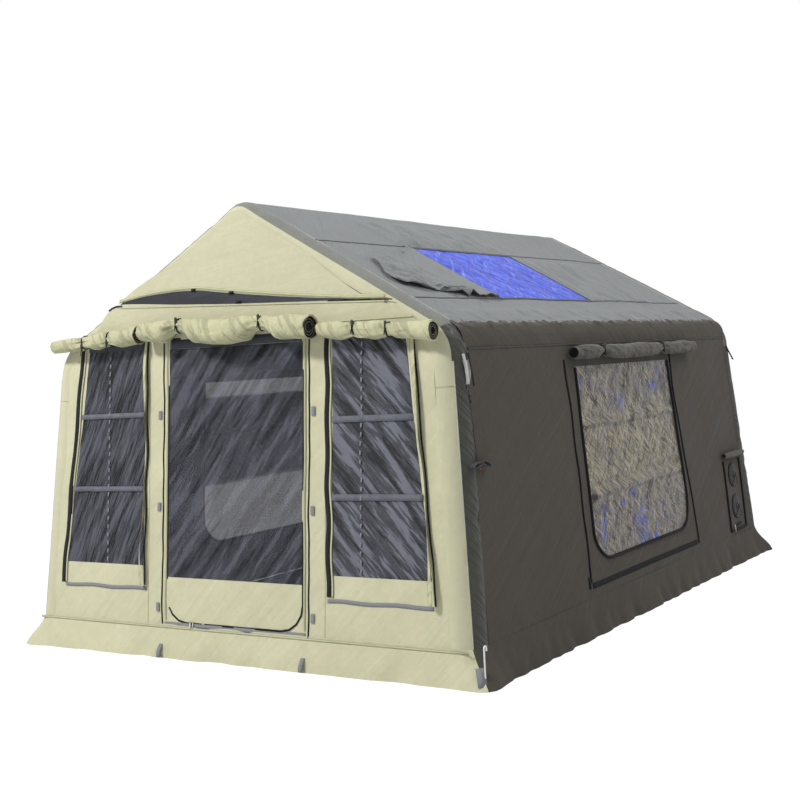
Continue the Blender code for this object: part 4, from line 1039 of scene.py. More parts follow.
LEFT_NET = NetFinish("left_window_net", "insect_mesh", (0.041, 0.043, 0.054), (0.062, 0.065, 0.080), 0.7,
                     turn=62.0, spread=0.040, cover=0.90, pull=0.008, shine=0.35)
DOOR_NET = NetFinish("door_net", "insect_mesh", (0.062, 0.065, 0.080), (0.088, 0.092, 0.112), 0.7, cover=0.50,
                     turn=48.0, spread=0.075, pull=0.006, shine=0.35, shade=0.7)
FILM = FilmFinish("clear_window_film", "clear_film", (0.30, 0.255, 0.155), (0.17, 0.155, 0.150), 0.22,
                  alpha=0.95)
LEFT_FILM = FilmFinish("left_window_film", "clear_film", (0.36, 0.31, 0.20), (0.26, 0.235, 0.20), 0.3,
                       alpha=0.42, sky_share=0.0, lines=0.35, low_zone=(0.78, 0.72), high_zone=(1.30, 1.34))
DUCT = ClothFinish("duct_sleeve_cloth", "black_trim", (0.020, 0.019, 0.019), (0.034, 0.032, 0.030),
                   crease=0.004)
SKY_FILM = FilmFinish("blue_skylight_film", "blue_film", (0.035, 0.10, 0.80), (0.02, 0.06, 0.60), 0.35,
                      dark=(0.012, 0.030, 0.40), bright=(0.30, 0.38, 0.95), sky_share=0.0, grain=9.0,
                      crumple=0.008, lines=0.5, pitch=0.03, rows=())
BLACK = SolidFinish("black_plastic", "black_trim", (0.012, 0.012, 0.013), (0.024, 0.024, 0.026), 0.42)
# Painted shadow: the near-black finish of the rolls' hollow ends.
SHADOW = SolidFinish("dark_roll_core", "black_trim", (0.014, 0.014, 0.018), (0.026, 0.026, 0.034), 0.85)
BLACK_TAPE = WebbingFinish("black_zip_tape", "black_trim", (0.010, 0.010, 0.011), (0.022, 0.022, 0.024), 0.75)
GREY_TAPE = WebbingFinish("grey_webbing", "grey_webbing", (0.075, 0.075, 0.080), (0.14, 0.14, 0.145), 0.85)
NET_TAPE = WebbingFinish("net_tape", "grey_webbing", (0.10, 0.104, 0.122), (0.19, 0.195, 0.225), 0.8,
                         rib=0.006)
PALE_TAPE = WebbingFinish("pale_window_tape", "grey_webbing", (0.20, 0.205, 0.24), (0.32, 0.325, 0.37), 0.8)
WHITE_METAL = SolidFinish("white_coated_steel", "white_metal", (0.72, 0.72, 0.70), (0.60, 0.60, 0.58), 0.35,
                          0.3)
RED = SolidFinish("red_hook_plastic", "red_plastic", (0.50, 0.03, 0.02), (0.36, 0.02, 0.015), 0.4)
ROPE = WebbingFinish("dark_guy_cord", "guy_cord", (0.035, 0.035, 0.042), (0.13, 0.13, 0.14), 0.8, 0.004)
BLADDER = SolidFinish("air_bladder_skin", "air_bladder", (0.09, 0.092, 0.088), (0.07, 0.072, 0.068), 0.5,
                      grain=120.0)
FLOOR_CLOTH = ClothFinish("ground_cloth", "ground_fabric", (0.055, 0.055, 0.06), (0.045, 0.045, 0.05))


@dataclass
class Assembly:
    """A group of pieces that are built, dressed and placed on a body together."""

    effects: Effects

    def add(self, name: str, bm: BMesh, finish: Finish | Sequence[Finish], body: str = "tent",
            replaces: Sequence[str] = (), wall: float = 0.0, subdivide: int = 0) -> Object:
        """Turns a mesh into a finished piece that rides on a body.

        Args:
            name: The piece's name.
            bm: Its mesh, which is used up.
            finish: Its finish, or one for each material index.
            body: The frame body that it rides on.
            replaces: Frame nodes that it stands for.
            wall: Thickness given to an open sheet.
            subdivide: Levels of subdivision.

        Returns:
            The new object.
        """
        if any(vert.is_wire for vert in bm.verts):
            bmesh.ops.delete(bm, geom=[vert for vert in bm.verts if not vert.link_faces], context="VERTS")
        mesh = bpy.data.meshes.new(name)
        bm.to_mesh(mesh)
        bm.free()
        finishes = [finish] if isinstance(finish, Finish) else list(finish)
        for each in finishes:
            mesh.materials.append(each.material(self.effects))
        mesh.shade_smooth()
        mesh.set_sharp_from_angle(angle=math.radians(50))
        piece = in_scene(name, mesh)
        if wall:
            solid = piece.modifiers.new("wall", "SOLIDIFY")
            solid.thickness, solid.offset, solid.use_even_offset = wall, 0.0, True
        if subdivide:
            round_off = piece.modifiers.new("round", "SUBSURF")
            round_off.levels = round_off.render_levels = subdivide
        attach(piece, body)
        if replaces:
            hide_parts(*replaces)
        LOG.info("%s: %d faces on %s", name, len(mesh.polygons), body)
        return piece

    def sheet(self, name: str, node: str, surface: Surface, axes: tuple[Vector, Vector], finish: Finish,
              body: str = "tent", step: float = 0.03, held: str = "stretched",
              rests_on: Sequence[str] = ("front_arch_sleeve",),
              warp: Callable[[Vector], Vector] | None = None) -> Object:
        """Dresses a frame sheet as folded cloth that keeps its outline.

        Args:
            name: The piece's name.
            node: The frame node whose outline it takes.
            surface: The surface whose folds it takes.
            axes: The directions across and up the sheet.
            finish: Its finish.
            body: The body that it rides on.
            step: Size of its faces.
            held: How it is held.
            rests_on: What it hangs from.
            warp: How its places slide within the wall, as the cloth is sewn askew.

        Returns:
            The new object.
        """
        bm = Shape.from_node(node)
        for axis in axes:
            Shape.slice(bm, axis, step)
        ENV.smooth_bends(bm)
        if warp:
            for vert in bm.verts:
                vert.co = warp(vert.co)
        Shape.map_flat(bm, *axes)
        flat = [max(v.co.dot(axis) for v in bm.verts) - min(v.co.dot(axis) for v in bm.verts)
                for axis in axes]
        cut = sum(face.calc_area() for face in bm.faces) / 2
        surface.press(bm)
        piece = self.add(name, bm, finish, body, [node])
        return self.declare_sheet(piece, flat, cut, held, rests_on)

    @staticmethod
    def declare_sheet(piece: Object, flat: Sequence[float], cut: float, held: str,
                      rests_on: Sequence[str]) -> Object:
        """Gives the piece back unchanged.

        Args:
            piece: The piece.
            flat: Width and length of the cut; not used.
            cut: Its area; not used.
            held: How it is held; not used.
            rests_on: What it hangs from or lies on; not used.

        Returns:
            The piece.
        """
        return piece

    def tape(self, name: str, surface: Surface, places: Sequence[Spot], width: float, finish: Finish,
             body: str = "tent", lift: float = 0.001, thick: float = 0.0012) -> Object:
        """Lays a tape or seam along a line on a surface.

        Args:
            name: The piece's name.
            surface: The cloth that it lies on.
            places: Corners of its line on that cloth.
            width: Its width.
            finish: Its finish.
            body: The body that it rides on.
            lift: Height of its middle over the cloth.
            thick: Its thickness.

        Returns:
            The new object.
        """
        flat = smooth_path([Vector(place) for place in places], TAPE_STEP)
        path = [surface.point(p.x, p.y, lift) for p in flat]
        sides = []
        for before, after in zip([flat[0], *flat], [*flat[1:], flat[-1]]):
            along = (after - before).normalized()
            here = surface.point(before.x, before.y)
            sides.append(surface.place(before.x - along.y * 0.1, before.y + along.x * 0.1,
                                       surface.height(before.x, before.y)) - here)
        return self.add(name, Shape.ribbon(path, sides, width), finish, body, wall=thick)

    def line(self, name: str, surface: Surface, places: Sequence[Spot], radius: float, finish: Finish,
             lift: float = 0.0005) -> Object:
        """Lays a round bead, such as piping or a closed zip, along a line on a surface.

        Args:
            name: The piece's name.
            surface: The cloth that it lies on.
            places: Corners of its line on that cloth.
            radius: Its radius.
            finish: Its finish.
            lift: Height of its middle over the cloth.

        Returns:
            The new object.
        """
        flat = smooth_path([Vector(place) for place in places], TAPE_STEP)
        return self.add(name, Shape.cord([surface.point(p.x, p.y, lift) for p in flat], radius), finish)

    def dress_node(self, node: str, finish: Finish) -> None:
        """Gives a frame node that stays a better material."""
        mesh = bpy.data.objects[node].data
        mesh.materials.clear()
        mesh.materials.append(finish.material(self.effects))


class Studio:
    """The camera of the photograph, soft lights and a pale floor."""

    eye = Vector((4.343, -7.212, 1.515))
    yaw, pitch, roll = math.radians(32.53), math.radians(-1.80), math.radians(2.97)
    lens = 58.41

    def build(self) -> None:
        """Makes the stage."""
        self.camera()
        self.lights()
        self.world()
        self.floor()

    def camera(self) -> None:
        """Places the camera where the photograph was taken."""
        forward = Vector((-math.sin(self.yaw) * math.cos(self.pitch),
                          math.cos(self.yaw) * math.cos(self.pitch), math.sin(self.pitch)))
        right = Vector((math.cos(self.yaw), math.sin(self.yaw), 0))
        down = forward.cross(right)
        turned = right * math.cos(self.roll) + down * math.sin(self.roll)
        fallen = down * math.cos(self.roll) - right * math.sin(self.roll)
        data = bpy.data.cameras.new("photo_camera")
        data.lens, data.sensor_width, data.clip_end = self.lens, 36.0, 200.0
        camera = in_scene("photo_camera", data)
        axes = Matrix((turned, -fallen, -forward)).transposed().to_4x4()
        camera.matrix_world = Matrix.Translation(self.eye) @ axes
        bpy.context.scene.camera = camera

    def lights(self) -> None:
        """A broad lamp before the tent and a weak one over it."""
        for name, place, size, power in (("front_lamp", Vector((-3.8, -8.5, 9.0)), 1.8, 1150.0),
                                         ("top_lamp", Vector((5.0, 0.5, 8.0)), 6.0, 280.0)):
            data = bpy.data.lights.new(name, "AREA")
            data.shape, data.size, data.energy = "DISK", size, power
            lamp = in_scene(name, data)
            lamp.location = place
            lamp.rotation_euler = (Z - place).to_track_quat("-Z", "Y").to_euler()

    @staticmethod
    def seen(graph: Graph) -> NodeSocket:
        """A mask of the rays that show the background."""
        rays = graph.add("LightPath").outputs
        return graph.math("MAXIMUM", graph.math("MAXIMUM", rays["Is Camera Ray"], rays["Is Glossy Ray"]),
                          rays["Is Transmission Ray"])

    def world(self) -> None:
        """A white world that lights the tent at a plain level."""
        world = bpy.data.worlds.new("studio")
        bpy.context.scene.world = world
        world.use_nodes = True
        graph = Graph(world.node_tree)
        back = world.node_tree.nodes["Background"]
        graph.feed(back.inputs["Color"], graph.mix(self.seen(graph), (0.34, 0.35, 0.37, 1), (1, 1, 1, 1)))
        bpy.context.scene.view_settings.view_transform = "Standard"

    def floor(self) -> None:
        """A wide pale floor that takes the tent's shadow."""
        bm = bmesh.new()
        bmesh.ops.create_grid(bm, x_segments=1, y_segments=1, size=60)
        mesh = bpy.data.meshes.new("studio_floor")
        bm.to_mesh(mesh)
        bm.free()
        made = bpy.data.materials.new("studio_floor")
        made.use_nodes = True
        graph, nodes = Graph(made.node_tree), made.node_tree.nodes
        shader = nodes["Principled BSDF"]
        graph.set(shader, Base_Color=(0.8, 0.8, 0.8, 1), Roughness=0.9)
        glow = graph.add("Emission", Color=(1, 1, 1, 1), Strength=1.17)
        blend = graph.add("MixShader", Fac=graph.math("MULTIPLY", self.seen(graph), 0.80))
        graph.feed(blend.inputs[1], shader.outputs[0])
        graph.feed(blend.inputs[2], glow.outputs[0])
        graph.feed(nodes["Material Output"].inputs["Surface"], blend.outputs[0])
        mesh.materials.append(made)
        floor = in_scene("studio_floor", mesh)
        floor.location.z = -0.002


EAVE_TURN = 1.66  # height below which the roof cloth hangs down the side wall
FRONT_UP = Vector((0, ENV.end_lean, 1)).normalized()
REAR_UP = Vector((0, -ENV.end_lean, 1)).normalized()
SIDE_UP = {side: Vector((-side.value * ENV.side_lean, 0, 1)).normalized() for side in Side}
ROOF_DOWN = {side: Vector((side.value, 0, -ENV.slope)).normalized() for side in Side}


def end_surface(end: int, folds: Sequence[Relief], depth: float = ENV.sheet_depth) -> Surface:
    """The cloth of the front (-1) or rear (1) wall, whose places are across the tent and up.

    Args:
        end: Which wall.
        folds: Its folds.
        depth: Depth of its outer face inside the envelope.

    Returns:
        The surface.
    """
    normal = Vector((0, end, ENV.end_lean)).normalized()
    return Surface(lambda a, b, lift: ENV.end(end, a, b, lift - depth), lambda p: (p.x, p.z),
                   lambda p: normal, folds)


def flank_surface(side: Side, folds: Sequence[Relief]) -> Surface:
    """The cloth of a side wall, whose places are along the tent and up.

    Args:
        side: Which wall.
        folds: Its folds.

    Returns:
        The surface.
    """
    normal = Vector((side.value, 0, ENV.side_lean)).normalized()
    return Surface(lambda a, b, lift: ENV.flank(side, a, b, lift - ENV.sheet_depth), lambda p: (p.y, p.z),
                   lambda p: normal, folds)


def roof_surface(side: Side, folds: Sequence[Relief]) -> Surface:
    """The cloth of a roof slope, whose places are along the tent and out from the ridge.

    Args:
        side: Which slope.
        folds: Its folds.

    Returns:
        The surface.
    """
    out = Vector((side.value, 0, ENV.side_lean)).normalized()
    slope = Vector((side.value * ENV.slope, 0, 1)).normalized()

    def normal(p: Vector) -> Vector:
        """Turns from straight up at the ridge, over the slope, to sideways under the eave."""
        low, crown = fade(p.z, 1.72, 1.58), 1 - fade(abs(p.x), 0.0, 0.12)
        return (out * low + Z * crown + slope * (1 - low) * (1 - crown)).normalized()

    return Surface(lambda a, b, lift: ENV.roof(side, a, b, lift - ENV.sheet_depth),
                   lambda p: (p.y, abs(p.x) + max(0.0, EAVE_TURN - p.z)), normal, folds)


@dataclass
class Walls:
    """All surfaces of the tent's cloth."""

    front: Surface
    front_high: Surface
    rear: Surface
    flanks: dict[Side, Surface]
    roofs: dict[Side, Surface]

    @classmethod
    def made(cls) -> Walls:
        """The surfaces with the folds seen in the photograph."""
        front = (Folds(38, 0.22, 0.0060, seed=1), Folds(-52, 0.13, 0.0040, seed=2),
                 Folds(80, 0.05, 0.0010, seed=3),
                 Patch(Folds(85, 0.07, 0.008, stretch=6, seed=14), inside((0.98, 0.20), (1.30, 1.62), 0.06)),
                 Patch(Folds(-85, 0.06, 0.006, stretch=6, seed=15),
                       inside((-1.32, 0.20), (-1.12, 1.62), 0.06)))
        high = (Folds(12, 0.30, 0.0015, seed=4), Folds(80, 0.12, 0.0008, seed=5))
        side = (Folds(20, 0.35, 0.0030, seed=6), Folds(-60, 0.14, 0.0012, seed=7))
        roof = (Folds(-38, 0.28, 0.0045, seed=8), Folds(60, 0.12, 0.0018, seed=9),
                Patch(Folds(-70, 0.085, 0.034, stretch=3, sharp=0.3, seed=10),
                      inside((-1.05, 0.10), (0.35, 0.43), 0.07)),
                Patch(Folds(-58, 0.11, 0.030, stretch=4, sharp=0.2, seed=12),
                      inside((0.31, 0.46), (1.30, 1.05), 0.08)),
                Patch(Folds(86, 0.055, 0.022, stretch=3, sharp=0.2, seed=13),
                      inside((-1.86, 1.10), (1.86, 1.32), 0.06)))
        return cls(
            front=end_surface(-1, front),
            front_high=end_surface(-1, high, depth=-0.0023),
            rear=end_surface(1, side),
            flanks={each: flank_surface(each, side) for each in Side},
            roofs={each: roof_surface(each, roof) for each in Side},
        )
TAB_TOP, TAB_LENGTH = 1.495, 0.115


@dataclass
class GuyLine(Assembly):
    """The guy rope that runs from its buckle into its hank, with the hook."""

    gap: float = 0.0003
    buckle: float = 0.026
    off_wall: float = 0.0045
    radius: float = 0.002
    run: float = 0.335
    run_steps: int = 37
    hank_out: float = 0.019
    hank_drop: float = 0.0096
    hank_reach: float = 0.080
    hank_pitch: float = 0.0049
    hank_steps: int = 140

    def build(self) -> None:
        """Makes the rope and dresses its fittings."""
        top, y = TAB_TOP - TAB_LENGTH - self.gap - self.buckle, -ENV.arch_line(TAB_TOP - TAB_LENGTH)
        points = self.route(top, y)
        rope = in_scene("guy_line", Shape.cord_curve(points, self.radius, False, 2))
        rope.data.materials.append(ROPE.material(self.effects))
        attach(rope, "tent")
        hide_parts("guy_rope", "guy_rope_hank")
        self.dress_node("guy_hook", RED)
        self.dress_node("guy_buckle", BLACK)
        for drop, turn in ((0.03, 0.0), (0.055, 1.2)):
            at = top - drop
            knot = [Vector((ENV.half_width(at) + 0.0075 + 0.003 * math.cos(3 * a),
                            y + 0.004 * math.sin(2 * a + turn), at + 0.006 * math.sin(a))) for a in turns(24)]
            self.add(f"guy_knot_{int(turn)}", Shape.cord(knot, 0.0016, True, 2), ROPE)

    def route(self, top: float, y: float) -> list[Vector]:
        """The rope's middle line, down the column and round its hank.

        Args:
            top: Height of the buckle's foot.
            y: Where the rope hangs along the tent.

        Returns:
            The line's points.
        """
        low = top - self.run
        heights = (top - self.gap - self.run * k / self.run_steps for k in range(self.run_steps))
        straight = [Vector((ENV.half_width(z) + self.off_wall, y, z)) for z in heights]
        centre = Vector((ENV.half_width(low - self.hank_out) + self.off_wall, y, low - self.hank_drop))
        return straight + [self.hank_point(turn, centre) for turn in spread(0.25, 6.0, self.hank_steps)]

    def hank_point(self, turn: float, centre: Vector) -> Vector:
        """A point of the rope's hank.

        Args:
            turn: How many turns of the hank lie before it.
            centre: The first loop's middle.

        Returns:
            The point.
        """
        angle = 2 * math.pi * turn
        along = math.cos(angle)
        half = 0.007 + 0.012 * along ** 2
        drop = half * math.sin(angle) - 0.018 * along ** 2
        return centre + Vector((self.hank_pitch * turn, self.hank_reach * along, drop))


@dataclass
class AirArches(Assembly):
    """The front and rear arch sleeves, with their sewn zones and piping."""

    foot: float = 0.004
    step: float = 0.03
    sides: int = 60
    shoulder: float = 1.74
    gable_gap: float = 0.005
    strip_start: int = 48
    strip_start_high: int = 42
    strip_end: int = 106
    khaki_end: int = -130
    wrinkle: Folds = Folds(52, 0.055, 0.055, stretch=3.0, sharp=0.4, seed=11)
    soft: Folds = Folds(70, 0.16, 0.02, seed=12)

    def build(self) -> None:
        """Makes both arches."""
        for end, word in ((-1, "front"), (1, "rear")):
            stations = self.stations(end)
            self.sleeve(stations, end, word)
            self.piping(stations, word)
            self.seams(stations, word)

    def stations(self, end: int) -> list[Matrix]:
        """Places along an arch whose X faces out of the tent's end and whose Y faces out of its side.

        Args:
            end: -1 for the front arch, 1 for the rear one.

        Returns:
            One matrix for each ring, scaled by the tube's radius.
        """
        outline = ENV.arch(ENV.tube, self.foot)
        path = smooth_path([Vector((p.x, end * ENV.arch_line(p.y), p.y)) for p in outline], self.step)
        front = Vector((0, end, ENV.end_lean)).normalized()
        found = []
        for before, here, after in zip([path[0], *path], path, [*path[1:], path[-1]]):
            along = (after - before).normalized()
            out = along.cross(front) * -end
            axes = Matrix((front * ENV.tube, out * ENV.tube, along)).transposed().to_4x4()
            found.append(Matrix.Translation(here) @ axes)
        return found

    def swell(self, run: float, turn: float) -> float:
        """Wrinkles of the sleeve, strongest on its outward strip.

        Args:
            run: Distance along the sleeve.
            turn: Angle round it.

        Returns:
            Share by which the ring grows.
        """
        strip = fade(turn, math.radians(40), math.radians(60)) * (1 - fade(turn, 2.0, 2.5))
        across = turn * ENV.tube
        height = strip * self.wrinkle.at(run, across) + 0.5 * self.soft.at(run, across)
        return height * (1 - fade(abs(turn), 2.4, 3.0))

    def settle(self, p: Vector, end: int) -> Vector:
        """Lifts a point to the roof's ridge, and keeps it behind the gable and above the ground.

        Args:
            p: The point.
            end: -1 for the front arch, 1 for the rear one.

        Returns:
            The point in its new place.
        """
        p = ENV.peak(p)
        if p.z > self.shoulder:
            p.y = end * min(end * p.y, ENV.half_length(p.z) - self.gable_gap)
        p.z = max(p.z, 0.0)
        return p

    def sleeve(self, stations: Sequence[Matrix], end: int, word: str) -> None:
        """Makes one sleeve.

        Args:
            stations: Its rings.
            end: -1 for the front arch, 1 for the rear one.
            word: The arch's name.
        """
        bm = Shape.sweep(stations, self.sides, False, self.swell)
        for vert in bm.verts:
            vert.co = self.settle(vert.co, end)
        turn = bm.verts.layers.float["turn"]
        for face in bm.faces:
            angles = [vert[turn] for vert in face.verts]
            middle = sum(angles) / len(angles) if max(angles) - min(angles) < 1 else math.pi
            face.material_index = self.zone(math.degrees(middle), face.calc_center_median().z)
        piece = self.add(f"{word}_arch_cloth", bm, (KHAKI, BAND, STRIP, OLIVE),
                         replaces=[f"{word}_arch_sleeve"], wall=ENV.sheet_wall)
        girth, length = 2 * math.pi * ENV.tube, run_of([station.translation for station in stations])[-1]
        self.declare_sheet(piece, (girth, length), girth * length, "stretched", [f"{word}_arch_bladder"])

    def piping(self, stations: Sequence[Matrix], word: str) -> None:
        """White piping along the strip's two edges: one over the eaves, one on the legs.

        Args:
            stations: The sleeve's rings.
            word: The arch's name.
        """
        for angle, radius, low, high in ((self.strip_end, 0.0024, 1.46, math.inf),
                                         (46, 0.0022, -math.inf, 1.50)):
            points = [ENV.peak(on_ring(station, math.radians(angle), 1.015)) for station in stations]
            for side in Side:
                part = [p for p in points if p.x * side.value > 0 and low < p.z < high]
                self.add(f"{word}_{side.word}_piping_{angle}", Shape.cord(part, radius, resolution=2), PIPING)

    def seams(self, stations: Sequence[Matrix], word: str) -> None:
        """A seam round each leg's front, below the eave and above the skirt.

        Args:
            stations: The sleeve's rings.
            word: The arch's name.
        """
        for height in (1365, 165):
            for side in Side:
                ring = min((s for s in stations if s.translation.x * side.value > 0),
                           key=lambda s: abs(s.translation.z - height / 1000))
                points = [on_ring(ring, math.radians(-60 + 5 * k), 1.012) for k in range(22)]
                self.add(f"{word}_{side.word}_seam_{height}", Shape.cord(points, 0.0016, resolution=2),
                         KHAKI_SEAM)

    def zone(self, angle: float, height: float) -> int:
        """Which cloth a place on a sleeve is sewn from.

        Args:
            angle: Degrees round the ring, from the tent's end toward its side.
            height: Height over the ground.

        Returns:
            0 for khaki, 1 for the band, 2 for the side strip and 3 for wall cloth.
        """
        edge = self.strip_start if height < 1.50 else self.strip_start_high
        if self.khaki_end < angle < edge:
            return 0
        if edge <= angle < self.strip_end:
            # Below 1.66 the band's place takes the dark strip cloth; from about 1.50 up to 1.66 this is
            # painted shade under the eave on the grey band.
            return 2 if height < 1.66 else 1
        return 3


@dataclass
class FrontWall(Assembly):
    """The front: panels, netting, door, gable and vent."""

    walls: Walls
    panel_seam: float = 0.585
    cover_edge: float = 0.60
    cover_foot: float = 0.37
    cover_top: float = 1.70
    net_edge: float = 0.626
    net_foot: float = 0.474
    net_width: float = 0.574
    net_lean: float = 0.12
    stitch_pitch: float = 0.044
    door_seam: float = 0.485
    door_edge: float = 0.460
    tab_heights: tuple[float, ...] = (1.28, 0.79, 0.26)
    head_net_width: float = 0.059
    vent_foot: float = 1.835
    vent_top: float = 1.852
    vent_gape: float = 0.063
    vent_half: float = 0.852
    vent_middle: float = -0.25
    vent_spread: float = 1.15
    sill_height: float = 1.847
    sill_slope: float = -0.045
    meshes: dict[str, Surface] = field(default_factory=dict)

    def build(self) -> None:
        """Makes the front."""
        self.cloths()
        self.nets()
        self.high_cloths()
        for side in Side:
            self.window_tapes(side)
            self.window_trims(side)
        for side in Side:
            self.door_side(side)
        self.door_trims()

    def cloths(self) -> None:
        """The khaki panels round the openings."""
        axes = (X, FRONT_UP)
        for name in ("front_right_panel", "front_left_panel", "door_surround"):
            self.sheet(f"{name}_cloth", name, self.walls.front, axes, KHAKI_LOW)
        self.sheet("door_kick_cloth", "door_kick_panel", self.walls.front, axes, KHAKI_LOW, "door",
                   rests_on=["door_zip_track"])
        self.dress_node("door_zip_track", BLACK_TAPE)
        self.dress_node("door_zip_slider", BLACK)

    def nets(self) -> None:
        """The netting of the door and the two windows, each with its own folds."""
        plans = (
            ("right", "front_right_window_mesh", "front_right_panel_cloth", NET, "tent", (0.62, 0.474),
             (1.20, 1.70), (Folds(-50, 0.10, 0.012, stretch=6, sharp=0.3, seed=21),
                            Folds(-42, 0.045, 0.004, stretch=8, seed=22))),
            ("left", "front_left_window_mesh", "front_left_panel_cloth", LEFT_NET, "tent", (-1.20, 0.474),
             (-0.62, 1.70), (Folds(60, 0.09, 0.008, stretch=7, sharp=0.3, seed=23),)),
            ("door", "door_mesh", "door_kick_cloth", DOOR_NET, "door", (-0.446, 0.42), (0.446, 1.70),
             (Folds(45, 0.13, 0.010, stretch=5, sharp=0.4, seed=24), Folds(-60, 0.3, 0.012, seed=25),
              Folds(82, 0.05, 0.0025, stretch=9, seed=26))),
        )
        for word, node, rests, finish, body, low, high, folds in plans:
            self.meshes[word] = self.walls.front.folded(folds, inside(low, high, 0.04))
            self.sheet(f"{word}_net", node, self.meshes[word], (X, FRONT_UP), finish, body, step=0.02,
                       rests_on=[rests])

    def vent_edges(self, x: float) -> Spot:
        """Lower and upper edge of the open vent, which gapes on the left.

        Args:
            x: Distance from the tent's middle.

        Returns:
            The heights of both edges.
        """
        share = (x - self.vent_middle) / (1.10 if x > self.vent_middle else 0.62)
        gape = max(0.0, 1 - abs(share)) ** 1.4 if x > self.vent_middle else max(0.0, 1 - share * share)
        low = self.sill_height + self.sill_slope * x
        return low, low + 0.004 + 0.074 * gape

    def sag(self, p: Vector) -> Vector:
        """Slides the cloth of header, vent and gable so that the vent gapes as it hangs.

        Args:
            p: A place in the frame's flat wall.

        Returns:
            The place where the cloth hangs.
        """
        low, high = self.vent_foot, self.vent_top + self.vent_gape * (1 - min(1.0,
                                                                              (p.x / self.vent_half) ** 2))
        goal_low, goal_high = self.vent_edges(p.x)
        reach = 1 - fade(abs(p.x), 0.86, 1.02)
        if p.z <= low:
            move = (goal_low - low) * fade(p.z, 1.70, low)
        elif p.z >= high:
            move = (goal_high - high) * (1 - fade(p.z, high, 2.12))
        else:
            share = (p.z - low) / (high - low)
            move = (goal_low - low) * (1 - share) + (goal_high - high) * share
        moved = p + FRONT_UP * move * reach
        rafter = (ENV.ridge_height - moved.z) / ENV.slope - 0.035
        if abs(moved.x) > rafter and move * reach > 0.001:
            moved.x = math.copysign(rafter, moved.x)
        return moved

    def widen(self, p: Vector) -> Vector:
        """Slides the vent's net with the cloth round it, and carries it on to the left rafter."""
        return self.sag(Vector((p.x * (self.vent_spread if p.x < 0 else 1.0), p.y, p.z)))

    def vent_line(self, places: Sequence[float], edge: int, above: float) -> list[Spot]:
        """A line that follows an edge of the vent.

        Args:
            places: Distances from the tent's middle.
            edge: 0 for the lower edge, 1 for the upper one.
            above: How far over the edge it runs.

        Returns:
            The line's corners.
        """
        return [(x, self.vent_edges(x)[edge] + above) for x in places]

    def high_cloths(self) -> None:
        """The header, the gable and the vent between them."""
        axes, high = (X, FRONT_UP), self.walls.front_high
        self.sheet("front_header_cloth", "front_header_panel", high, axes, KHAKI, warp=self.sag)
        self.sheet("gable_cloth", "gable_panel", high, axes, KHAKI, warp=lambda p: ENV.peak(self.sag(p)))
        self.sheet("gable_vent_net", "gable_vent_mesh", high, axes, VENT_NET, step=0.06, warp=self.widen)
        self.tape("header_seam", high, [(-1.10, 1.716), (1.10, 1.716)], 0.010, KHAKI_SEAM)
        places = spread(-0.82, 0.94, 44)
        self.tape("gable_hem", high, self.vent_line(places, 1, 0.014), 0.020, KHAKI_SEAM)
        self.tape("vent_sill", high, self.vent_line(places, 0, -0.006), 0.010, KHAKI_SEAM)
        # The left line is a thick dark cord along the slit's left end: painted shadow for the dark inside
        # that shows through the gaping vent.
        fold = [(-0.80, 1.885), (-0.845, 1.887), (-0.875, 1.880), (-0.900, 1.867)]
        for word, line, radius in (("right", self.vent_line(spread(0.60, 0.98, 4), 0, 0.002), 0.0028),
                                   ("left", fold, 0.0045)):
            self.line(f"vent_{word}_fold", high, line, radius, BLACK_TAPE, lift=0.001)
        for word, x, edge in (("left", -0.28, 1), ("right", 0.03, 0), ("middle", -0.02, 1)):
            b = self.vent_edges(x)[edge] - 0.006 + 0.008 * (1 - edge)
            self.tape(f"vent_tab_{word}", high, [(x, b), (x, b + 0.014)], 0.032, BLACK_TAPE, lift=0.003)

    def window_trims(self, side: Side) -> None:
        """Cover zips, a fastening strip and a hanging edge round one front window.

        Args:
            side: Which window.
        """
        front, word, sign = self.walls.front, side.word, side.value
        wave = [(sign * self.cover_edge + 0.004 * math.sin(19 * b) + 0.012 * sign * (1 - fade(b, 0.4, 1.2)),
                 b)
                for b in spread(self.cover_foot, self.cover_top, 40)]
        outer = [(sign * (1.225 - 0.10 * (b - self.cover_foot) + 0.004 * math.sin(15 * b)), b)
                 for b in spread(0.36, 1.68, 30)]
        dark, light, inset = (wave, outer, 0.017) if side is Side.RIGHT else (outer, wave, 0.018)
        self.tape(f"{word}_cover_zip", front, dark, 0.036, BLACK_TAPE, lift=0.003, thick=0.003)
        self.tape(f"{word}_cover_zip_edge", front, [(a + inset, b) for a, b in dark], 0.010, KHAKI_SEAM,
                  lift=0.004, thick=0.004)
        self.tape(f"{word}_cover_edge_zip", front, light, 0.008, BLACK_TAPE, lift=0.006, thick=0.002)
        self.hanging_edge(word, light)
        strip = [(sign * (self.cover_edge + 0.61 * k / 12), 0.350 + 0.003 * math.sin(k)) for k in range(13)]
        self.tape(f"{word}_fastening_strip", front, strip, 0.020, GREY_TAPE, lift=0.0015, thick=0.0016)
        seam = sign * self.panel_seam
        self.line(f"{word}_panel_seam", front, [(seam, 0.165), (seam, 1.69)], 0.0012, KHAKI_SEAM)

    def hanging_edge(self, word: str, line: Sequence[Spot]) -> None:
        """A loose strip of cloth beside a window, left when its cover is rolled up.

        Args:
            word: Which window.
            line: Where the strip is sewn on.
        """
        swing = [0.012 + 0.010 * math.sin(7 * b + len(word)) + 0.014 * (1 - fade(b, 0.3, 1.0))
                 for _, b in line]
        path = [self.walls.front.point(a - 0.012, b, lift) for (a, b), lift in zip(line, swing)]
        sides = [Vector((1, -1.2 + 0.8 * math.sin(5 * b), 0)) for _, b in line]
        self.add(f"{word}_hanging_edge", Shape.ribbon(path, sides, 0.040), KHAKI_ROLLED, wall=0.0012,
                 subdivide=1)

